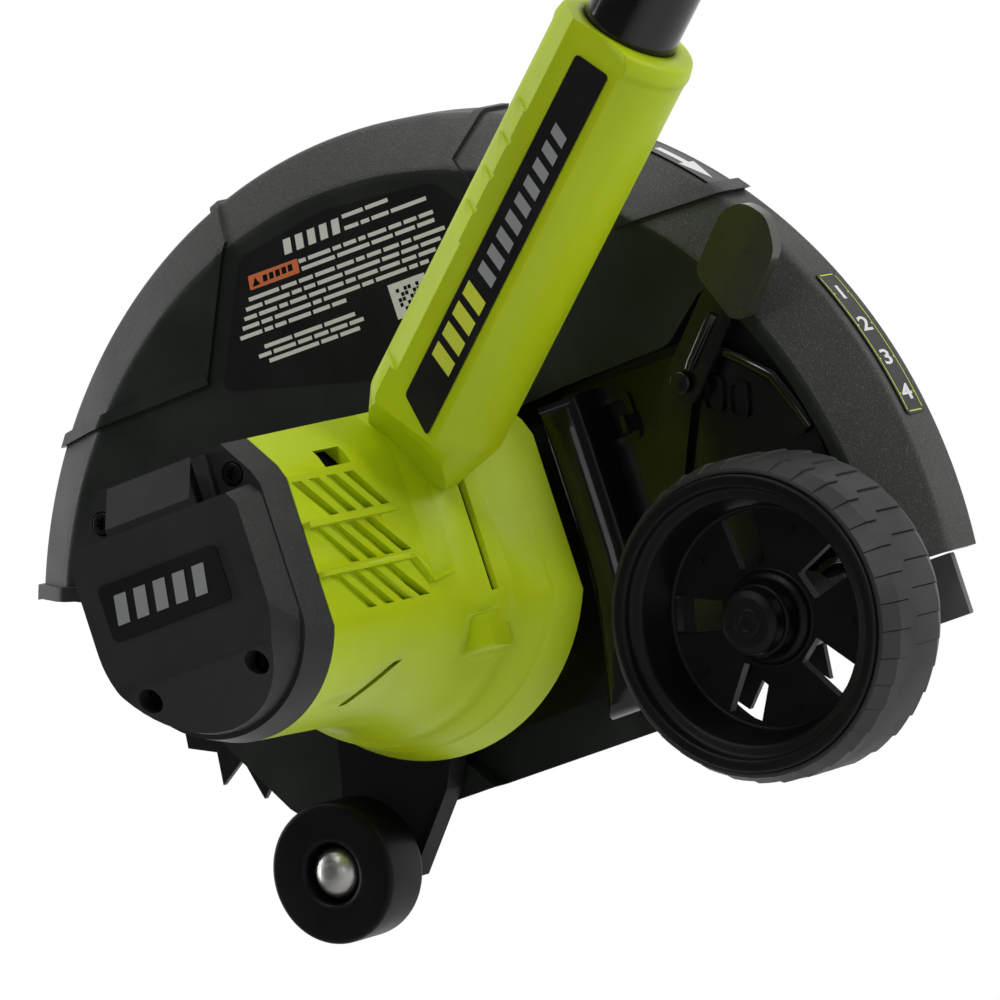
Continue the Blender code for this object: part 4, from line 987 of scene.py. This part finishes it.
def rear_wheel():
    """Deep-dished wheel with five windows, ribs, a stepped hub and the lugged tyre."""
    front, back = WHEEL_FRONT, WHEEL_BACK
    rim = WHEEL_R - 4.0
    web = front + 15.0
    profile = soften([(4.6, front + 7.5), (10.0, front + 7.5), (10.6, front + 12.5), (12.6, front + 13.6),
                      (13.0, web), (30.6, web), (33.6, front + 3.4), (36.6, front + 2.6), (37.2, front),
                      (rim, front), (rim, back), (35.0, back), (33.5, web + 3.0), (10.5, web + 3.0),
                      (10.5, back + 1.5), (4.6, back + 1.5)], 0.9)
    wheel = lathe("wheel", profile, WHEEL, 160)
    windows = 5
    pitch = 360 / windows
    for i in range(windows):
        spin = turned(*WHEEL, 54 + pitch * i)
        window = soften([(14.6, -4.2), (29.2, -5.2), (29.2, 5.2), (14.6, 4.2)], 0.6)
        frame_wall = plate("window_wall",
                           soften([(13.9, -5.1), (30.0, -6.1), (30.0, 6.1), (13.9, 5.1)], 1.2), web + 1.0,
                           web + 3.4, spin, holes=[window])
        join(wheel, frame_wall)
        cut(wheel, plate("window", window, web - 5, web + 20, spin))
    for i in range(windows):
        spin = turned(*WHEEL, 18 + pitch * i)
        join(wheel, plate("mould_pip", arc(25.5, 0, 0.9, 0, 330, 12), web - 0.5, web + 0.3, spin))
    piece(wheel, BLACK, "rear_wheel_set", ["rear_wheel"], angle=30)
    piece(tread(), RUBBER, "rear_wheel_set", ["rear_tyre"], angle=12)
    cap = soften([(0, front + 2.4), (2.0, front + 2.4), (2.3, front + 1.9), (3.6, front + 1.9),
                  (3.9, front + 2.4), (6.8, front + 2.0), (8.8, front + 3.4), (9.2, front + 7.2),
                  (0, front + 7.2)], 0.5, closed=False)
    piece(lathe("hub_cover", cap, WHEEL, 96), BLACK, "rear_wheel_set", ["hub_cap"])


def front_wheel():
    """Solid front wheel with rounded shoulders and its polished dome-headed axle."""
    front, back = SMALL_FRONT, SMALL_BACK
    profile = soften([(4.4, front + 6.0), (8.2, front + 6.0), (9.0, front), (SMALL_R, front),
                      (SMALL_R, back), (7.0, back), (6.4, back + 1.5), (4.4, back + 1.5)], 1.8, count=6)
    piece(lathe("small_wheel", profile, SMALL, 160), BLACK, "front_wheel_set", ["front_wheel"], angle=40)
    dome = [(0, front - 0.6)] + [(7.5 * math.sin(math.radians(a)),
                                  front + 4.4 - 5.0 * math.cos(math.radians(a))) for a in range(9, 91, 9)]
    axle = dome + [(7.5, front + 5.7), (4.0, front + 5.7), (4.0, -27.0), (0, -27.0)]
    piece(lathe("small_axle", axle, SMALL, 64), STEEL, "machine", ["front_axle"])


# ---- shaft and handles --------------------------------------------------------------------
KNOB_R, KNOB_WAVE, KNOB_LOBES = 16.3, 1.7, 6


def knob(name, matrix, high, bolt_end, body, node):
    """Lobed clamp knob with a domed crown; its axis is the matrix's Y."""
    def lobes(scale):
        """Outline of the lobed head."""
        angles = [2 * math.pi * i / 96 for i in range(96)]
        reach = [(KNOB_R + KNOB_WAVE * math.cos(KNOB_LOBES * a)) * scale for a in angles]
        return [(r * math.cos(a), r * math.sin(a)) for r, a in zip(reach, angles)]

    sections = [(0.0, lobes(0.93)), (-1.0, lobes(0.99)), (-high * 0.55, lobes(1.0)),
                (-high + 1.6, lobes(0.97)), (-high + 0.5, lobes(0.90)), (-high, lobes(0.80))]
    head = loft(name, sections, matrix)
    cut(head, disc("dimple", 7.5, -high - 5, -high + 1.0, steps=48, matrix=matrix))
    bolt = disc("bolt", 2.8, -1.0, bolt_end, steps=24, matrix=matrix)
    piece(join(head, bolt), CHARCOAL, body, [node], angle=35)


def shaft():
    """Painted tubes, the coupler with its knob, and a seam ring."""
    bore = TUBE_R - 1.5
    lower_low, upper_high = 82, HANDLE_S + 40
    for name, node, low, high in (("lower_shaft", "lower_tube", lower_low, COUPLER_S - 0.3),
                                  ("upper_shaft", "upper_tube", COUPLER_S, upper_high)):
        profile = rect(bore, low, TUBE_R, high)
        piece(lathe(name, profile, steps=96, along="X", matrix=SHAFT), PAINT, "machine", [node])
    inner, half = TUBE_R + 0.3, 45
    place = along_shaft(COUPLER_S)
    profile = soften([(inner, -half), (17.5, -half), (20, -half + 4), (20, -14), (18.6, -12), (18.6, 12),
                      (20, 14), (20, half - 4), (17.5, half), (inner, half)], 1.2)
    collar = lathe("coupler", profile, steps=96, along="X", matrix=place)
    ears = block("ears", (60, 18, 18), (0, -22, 0), place, 2.5)
    cut(ears, shaft_bore(inner, -60, 60, place))
    join(collar, ears)
    cut(collar, disc("bolt_hole", 3.2, -100, -18, steps=24, matrix=place))
    cut(collar, block("split", (66, 16, 1.6), (0, -26, -5.0), place))
    piece(collar, CHARCOAL, "machine", ["shaft_coupler"])
    knob("coupler_knob_head", place @ Matrix.Translation((0, -31.6, 0)), 13.0, 10.0, "joint_knob",
         "coupler_knob")


def front_handle():
    """Loop handle with a foam-ribbed grip, its clamp halves and knob."""
    place = along_shaft(LOOP_S)
    half_width, reach, corner = 58, 115, 30
    bar_radius, grip_radius, groove = 9.6, 11.5, 0.5
    side = [(0, -20.5, 12), (0, -30, 13.2), (0, -40, 16), (0, -50, 22.5), (0, -56, 30), (0, -half_width, 40)]
    bend = [(0, -half_width + corner * (1 - math.cos(math.radians(a))),
             reach - corner + corner * math.sin(math.radians(a))) for a in range(0, 91, 9)]
    left = side + bend
    path = left + [(x, -y, z) for x, y, z in reversed(left)]
    loop = tube("loop", path, bar_radius, place, 32)
    foot = block("foot", (44, 56, 20), (0, 0, 11.2), place, 3)
    join(loop, foot)
    bore = shaft_bore(TUBE_R + 0.3, -100, 100, place)
    cut(loop, bore)
    hole = place @ Matrix.Translation((0, -21, 0)) @ QUARTER_X
    cut(loop, disc("hole", 3.4, -50, 50, steps=24, matrix=hole))
    piece(loop, BLACK, "loop_handle", ["front_handle"], angle=40)
    grip_path = path[3:-3]
    fine = []
    for a, b in zip(grip_path, grip_path[1:]):
        steps = max(1, int((Vector(b) - Vector(a)).length / 1.6))
        fine += [tuple(Vector(a).lerp(Vector(b), i / steps)) for i in range(steps)]
    radii = [grip_radius - (groove if i % 4 == 0 else 0) for i in range(len(fine))]
    radii[:2] = [9.8, 11.0]
    radii[-2:] = [11.0, 9.8]
    piece(tube("loop_grip", fine, radii, place, 32), RUBBER, "loop_handle", angle=60)
    clamp = block("clamp", (44, 56, 18), (0, 0, -10.0), place, 2.5)
    cut(clamp, shaft_bore(TUBE_R + 0.3, -100, 100, place))
    cut(clamp, disc("hole", 3.4, -50, 50, steps=24, matrix=hole))
    piece(clamp, CHARCOAL, "loop_handle", ["handle_clamp"])
    bolt = place @ Matrix.Translation((0, 21, -19.2)) @ QUARTER_X
    piece(plate("clamp_bolt_head", arc(0, 0, 5.0, 0, 300, 6), -2.0, 1.0, bolt), STEEL, "loop_handle")
    down = place @ Matrix.Translation((0, -21, -19.4)) @ QUARTER_X
    knob("loop_knob_head", down, 11.0, 30.0, "loop_knob", "handle_knob")


def handle_outline():
    """Side view of the rear handle: neck, grip, tail and lower guard bar, as in the CAD."""
    h = HANDLE_S
    return [(h - 10, -20), (h - 10, 20), (h + 50, 26), (h + 110, 23), (h + 210, 24), (h + 262, 32),
            (h + 305, 30), (h + 330, 10), (h + 330, -28), (h + 238, -28), (h + 238, -80), (h + 210, -88),
            (h + 100, -68), (h + 40, -33)]


def hand_hole():
    """Outline of the opening behind the grip."""
    h = HANDLE_S
    return [(h + 75, -10), (h + 75, -30), (h + 110, -52), (h + 205, -68), (h + 218, -60), (h + 218, -18),
            (h + 205, -10)]


def rounded_plate(name, outline, low, high, round_by, matrix=None, holes=()):
    """Plate whose far edges are rounded."""
    return apply(bevel(plate(name, outline, low, high, matrix, holes), round_by, 4, 50))


def rear_handle():
    """Two half shells with a parting line, grooves near the neck, screws and tail panels."""
    h = HANDLE_S
    depth = 19.0
    for side, node in ((-1, "handle_left"), (1, "handle_right")):
        near, far = span(side, 0.2, depth)
        outline = soften(handle_outline(), 12, count=6)
        half = rounded_plate(node + "_shell", outline, near, far, 5.0, SHAFT,
                             [soften(hand_hole(), 10, count=6)[::-1]])
        cut(half, shaft_bore(TUBE_R + 0.3, h - 100, h + 40.5, SHAFT))
        pocket = [(h + 70, -20), (h + 70, 13), (h + 175, 13), (h + 175, -6), (h + 135, -6), (h + 135, -20)]
        cut(half, plate("pocket", pocket, -8.5, 8.5, SHAFT))
        cut(half, block("lock_slot", (14, 10, 30), (h + 155, 0, 20), SHAFT))
        for i in range(5):
            groove = rect(h + 2 + 7 * i, -12, h + 5 + 7 * i, 12)
            low, high = span(side, depth - 0.8, depth + 2)
            cut(half, plate("groove", soften(groove, 1.4), low, high, SHAFT))
        spots = [(h + 62, 8), (h + 232, 14), (h + 300, 12), (h + 222, -74), (h + 60, -28)]
        for x, z in spots:
            low, high = span(side, depth - 3, depth + 2)
            cut(half, plate("screw_pocket", circle(x, z, 3.4), low, high, SHAFT))
        piece(half, LIME, "machine", [node], angle=30)
        if side < 0:
            heads = [plate("screw", circle(x, z, 2.9), -depth + 1.4, -depth + 2.9, SHAFT) for x, z in spots]
            piece(merge("handle_screws", heads), BLACK, "machine")
        panel = soften([(h + 250, -20), (h + 250, 22), (h + 300, 20), (h + 318, 6), (h + 318, -20)], 5)
        low, high = span(side, depth - 1, depth + 0.9)
        piece(rounded_plate(f"tail_panel_{node}", panel, low, high, 0.7, SHAFT), CHARCOAL, "machine")


def grip_sleeve():
    """Ribbed rubber sleeve round the handle's grip."""
    h = HANDLE_S
    start, end = h + 172, h + 208
    bm = bmesh.new()
    rows = []
    count = 20
    section = soften(rect(-19.7, -10.6, 19.7, 24.6), 7.0, count=6)
    inner = soften(rect(-17.5, -9.0, 17.5, 22.6), 5.0, count=6)
    stations = [(start, 0.0)] + [(start + (end - start) * (i + 0.5) / count, 0.9 if i % 2 else 0.3)
                                 for i in range(count)] + [(end, 0.0)]
    for s, lift in stations:
        rows.append([bm.verts.new((s, y * (1 + lift / 20), 7 + (z - 7) * (1 + lift / 18))) for y,
                     z in section])
    for s in (end, start):
        rows.append([bm.verts.new((s, y, z)) for y, z in inner])
    bridge(bm, rows, closed=True)
    piece(finish_mesh("grip_sleeve", bm, SHAFT), RUBBER, "machine", angle=50)


def controls():
    """Trigger with a finger curve, and the lock-off button with ridges."""
    h = HANDLE_S
    outline = [(77, 10), (77, -14), (88, -23), (98, -20), (107, -18.6), (118, -18.6), (127, -18),
               (127, -6), (89, 2), (89, 10)]
    outline = soften([(h + x, z) for x, z in outline], 4.0, count=5)
    trigger = apply(bevel(plate("trigger_lever", outline, -7.8, 7.8, SHAFT), 1.6, 3, 50))
    for i in range(5):
        cut(trigger, block("rib", (1.2, 20, 1.2), (h + 96 + 5 * i, 0, -20.0 + 0.9 * abs(i - 3)), SHAFT))
    piece(trigger, BLACK, "trigger_body", ["trigger"])
    button = block("lock_off_key", (13.2, 9.2, 20), (h + 155, 0, 21.5), SHAFT, 1.6)
    for i in range(4):
        cut(button, block("rib", (1.2, 12, 1.0), (h + 150.5 + 3 * i, 0, 31.6), SHAFT))
    piece(button, CHARCOAL, "lock_off", ["lock_off_button"])


PACK = (90, 74, 62)
LATCH_X, LATCH_Z = 48, -22


def battery():
    """Slide-on pack: rounded shell, ribbed flanks, squeeze latches, charge window and a parting line."""
    place = SHAFT @ Matrix.Translation((BATTERY_S, 0, BATTERY_TOP))
    pack = block("pack", PACK, (PACK[0] / 2, 0, -33), place, 5.0, 4)
    join(pack, block("rail", (78, 40, 4), (42, 0, -1.7), place))
    for side in (-1, 1):
        cut(pack, block("latch_pocket", (26.4, 13.6, 16.4), (LATCH_X, side * PACK[1] / 2, LATCH_Z), place))
        for i in range(6):
            cut(pack, block("flank_groove", (52, 2.0, 1.6), (46, side * 37, -38 - 3.6 * i), place))
    ring_cut = block("parting", (100, 90, 0.9), (45, 0, -33.6), place)
    cut(ring_cut, block("parting_core", (88.6, 72.6, 4), (45, 0, -33.6), place))
    cut(pack, ring_cut)
    for i in range(5):
        cut(pack, block("rear_vent", (3, 30, 1.6), (90, 0, -44 - 3.4 * i), place))
    piece(pack, CHARCOAL, "battery", ["battery_pack"])
    for side, node, body in ((-1, "latch_left", "latch_l"), (1, "latch_right", "latch_r")):
        key = block(node + "_key", (25.6, 4.5, 15.6), (LATCH_X, side * 35.4, LATCH_Z), place, 0.8)
        for i in range(5):
            cut(key, block("rib", (1.2, 1.2, 12), (40 + 4 * i, side * 37.6, LATCH_Z), place))
        piece(key, LIME, body, [node])
    rear_face = place @ Matrix.Translation((PACK[0], 0, LATCH_Z)) @ rotation(90, "Z")
    window = rounded_plate("charge_window", soften(rect(2, -8, 14, 8), 3), -0.6, 0.6, 0.3, rear_face)
    piece(window, LABEL, "battery")
    lamps = [plate("lamp", arc(8, -5.4 + 3.6 * i, 1.1, 0, 330, 12), -0.75, -0.55, rear_face)
             for i in range(4)]
    piece(merge("charge_lamps", lamps), YELLOW_INK, "battery")


# ---- blade side ---------------------------------------------------------------------------
def blade_side():
    """Blade, flanges, nut and spindle end as they show from the guard's open side."""
    half = BLADE_R
    corner = [(half, 12.0), (104.5, 14.6), (104.5, 24.5), (96.0, 18.0), (91.0, 30.5), (83.0, 21.5),
              (77.0, 29.0), (70.0, 23.0)]
    end = corner[::-1] + [(u, -v) for u, v in corner]
    outline = [(u, -v) for u, v in end] + [(-u, v) for u, v in end]
    spin = rotation(8, "Y")
    bar = plate("blade_bar", outline, -10.0, -8.0, spin, holes=[circle(0, 0, 5.2)])
    for x in (-34, 34):
        cut(bar, plate("slot", soften(rect(x - 7, -3, x + 7, 3), 3), -20, 0, spin))
    piece(bevel(bar, 0.45, 2, 50), BLADE_STEEL, "spindle_set", ["blade"])
    washer = soften(rect(5.2, -7.7, 15.0, -6.2), 0.5)
    piece(lathe("clamp_washer", washer, steps=96), STEEL, "spindle_set", ["outer_washer"])
    flange = soften([(5.2, -16.5), (8.5, -16.5), (17.0, -13.0), (17.0, -10.3), (5.2, -10.3)], 0.6)
    piece(lathe("drive_flange", flange, steps=96), STEEL, "spindle_set", ["inner_flange"])
    nut = plate("nut", arc(0, 0, 8.2, 0, 300, 6), -5.9, -1.2, holes=[arc(0, 0, 4.2, 0, 350, 36)])
    keep(nut,
         lathe("nut_cone",
               soften([(0, -6.2), (8.6, -6.2), (8.6, -2.2), (7.0, -1.0), (0, -1.0)], 0.2, closed=False),
               steps=64))
    piece(nut, STEEL, "spindle_set", ["blade_nut"])
    thread = [(0, -57.8), (5.0, -57.8), (5.0, -6.8)]
    for i in range(7):
        y = -6.4 + 0.85 * i
        thread += [(3.95, y), (3.55, y + 0.42)]
    thread += [(3.6, -0.3), (3.2, 0), (0, 0)]
    piece(lathe("spindle_turned", thread, steps=48), STEEL, "spindle_set", ["spindle"])


BEVELLED = {"front_wheel_arm": 0.5, "front_axle_nut": 0.5, "rear_axle_nut": 0.5, "gear_plate": 0.4}


def carried_over():
    """Shown CAD nodes take their slot's material and smooth shading; BEVELLED ones get rounded edges."""
    for name, node in frame["nodes"].items():
        if node.hide_render:
            continue
        node.data.materials.clear()
        node.data.materials.append(ARM_BLACK if name == "front_wheel_arm" else SLOT_LOOK[NODE_SLOT[name]])
        shade(node)
        if name in BEVELLED:
            bevel(node, BEVELLED[name])


# ---- studio -------------------------------------------------------------------------------
SURROUND_FRONT, SURROUND_BACK = 0.10, 1.0
LIGHTS = [("key", (0.4, -2.1, 2.0), (0.0, -0.05, 0.03), (0.8, 0.8), 22),
          ("top", (0.0, -0.3, 2.2), (0.0, -0.05, 0.0), (1.4, 1.0), 17),
          ("left", (-2.2, -0.5, 0.7), (0.0, -0.05, 0.03), (0.14, 1.6), 15),
          ("right", (2.3, 0.35, 0.9), (0.0, -0.05, 0.03), (0.22, 1.6), 22),
          ("low", (0.6, -2.4, 0.1), (0.0, -0.05, 0.03), (1.2, 0.4), 3)]
FLOOR_R, FLOOR_CENTRE = 1100, (0.6, 0, -0.16)
FLOOR_FADE = (0.45, 1.08)


def studio():
    """Pale floor below the blade's reach, bright rear surround and soft lights."""
    bm = bmesh.new()
    bmesh.ops.create_circle(bm, cap_ends=True, radius=FLOOR_R, segments=128)
    floor = finish_mesh("floor", bm)
    floor.location = FLOOR_CENTRE
    pale = new_material("floor_paint", (0.86, 0.86, 0.86), 0.7)
    vary_roughness(pale, noise(pale, 4, 2), 0.65, 0.8)
    edge = pale.node_tree.nodes.new("ShaderNodeVectorMath")
    edge.operation = "LENGTH"
    local = pale.node_tree.nodes.new("ShaderNodeTexCoord")
    pale.node_tree.links.new(local.outputs["Object"], edge.inputs[0])
    fade_out = remap(pale, edge.outputs["Value"], *FLOOR_FADE, 1.0, 0.0)
    pale.node_tree.links.new(fade_out, pale.node_tree.nodes["Principled BSDF"].inputs["Alpha"])
    floor.data.materials.append(pale)
    world = bpy.data.worlds.new("studio")
    bpy.context.scene.world = world
    world.use_nodes = True
    nodes, links = world.node_tree.nodes, world.node_tree.links
    place = nodes.new("ShaderNodeTexCoord")
    split = nodes.new("ShaderNodeSeparateXYZ")
    links.new(place.outputs["Generated"], split.inputs["Vector"])
    fade = remap(world, split.outputs["Y"], -0.25, 0.45, SURROUND_FRONT, SURROUND_BACK)
    fade.node.interpolation_type = "SMOOTHSTEP"
    links.new(fade, nodes["Background"].inputs["Strength"])
    nodes["Background"].inputs["Color"].default_value = (1.0, 1.0, 1.0, 1)
    for name, place_at, aim, size, power in LIGHTS:
        light = bpy.data.lights.new(name, "AREA")
        light.shape = "RECTANGLE"
        light.size, light.size_y = size
        light.energy = power
        lamp = add_object(name, light)
        lamp.location = place_at
        lamp.rotation_euler = (Vector(aim) - Vector(place_at)).to_track_quat("-Z", "Y").to_euler()


CAMERA_ANGLES = (32.047, -3.984, 18.026)  # azimuth, elevation and roll, in degrees
CAMERA_TARGET, CAMERA_DISTANCE = (0.044991, -0.058, 0.036616), 2.0873
LENS, SENSOR = 270, 36


def camera():
    """Long lens, a little below level and rolled, aimed at the motor head."""
    azimuth, elevation, roll = (math.radians(angle) for angle in CAMERA_ANGLES)
    ahead = Vector((-math.sin(azimuth) * math.cos(elevation), math.cos(azimuth) * math.cos(elevation),
                    -math.sin(elevation)))
    level = Vector((math.cos(azimuth), math.sin(azimuth), 0))
    over = level.cross(ahead)
    right = level * math.cos(roll) - over * math.sin(roll)
    up = level * math.sin(roll) + over * math.cos(roll)
    data = bpy.data.cameras.new("camera")
    data.lens, data.sensor_width = LENS, SENSOR
    data.clip_start, data.clip_end = 0.05, 60
    obj = add_object("camera", data)
    turn = Matrix((right, up, -ahead)).transposed().to_4x4()
    obj.matrix_world = Matrix.Translation(Vector(CAMERA_TARGET) - ahead * CAMERA_DISTANCE) @ turn
    bpy.context.scene.camera = obj


bpy.context.scene.view_settings.view_transform = "Standard"
camera()
studio()
guard()
guard_labels()
rim_labels()
flap()
motor_housing()
housing_inside()
end_cap()
cap_trim()
boss_decal()
wheel_bracket()
lever()
rear_wheel()
front_wheel()
shaft()
front_handle()
rear_handle()
grip_sleeve()
controls()
battery()
blade_side()
carried_over()

bpy.context.view_layer.update()
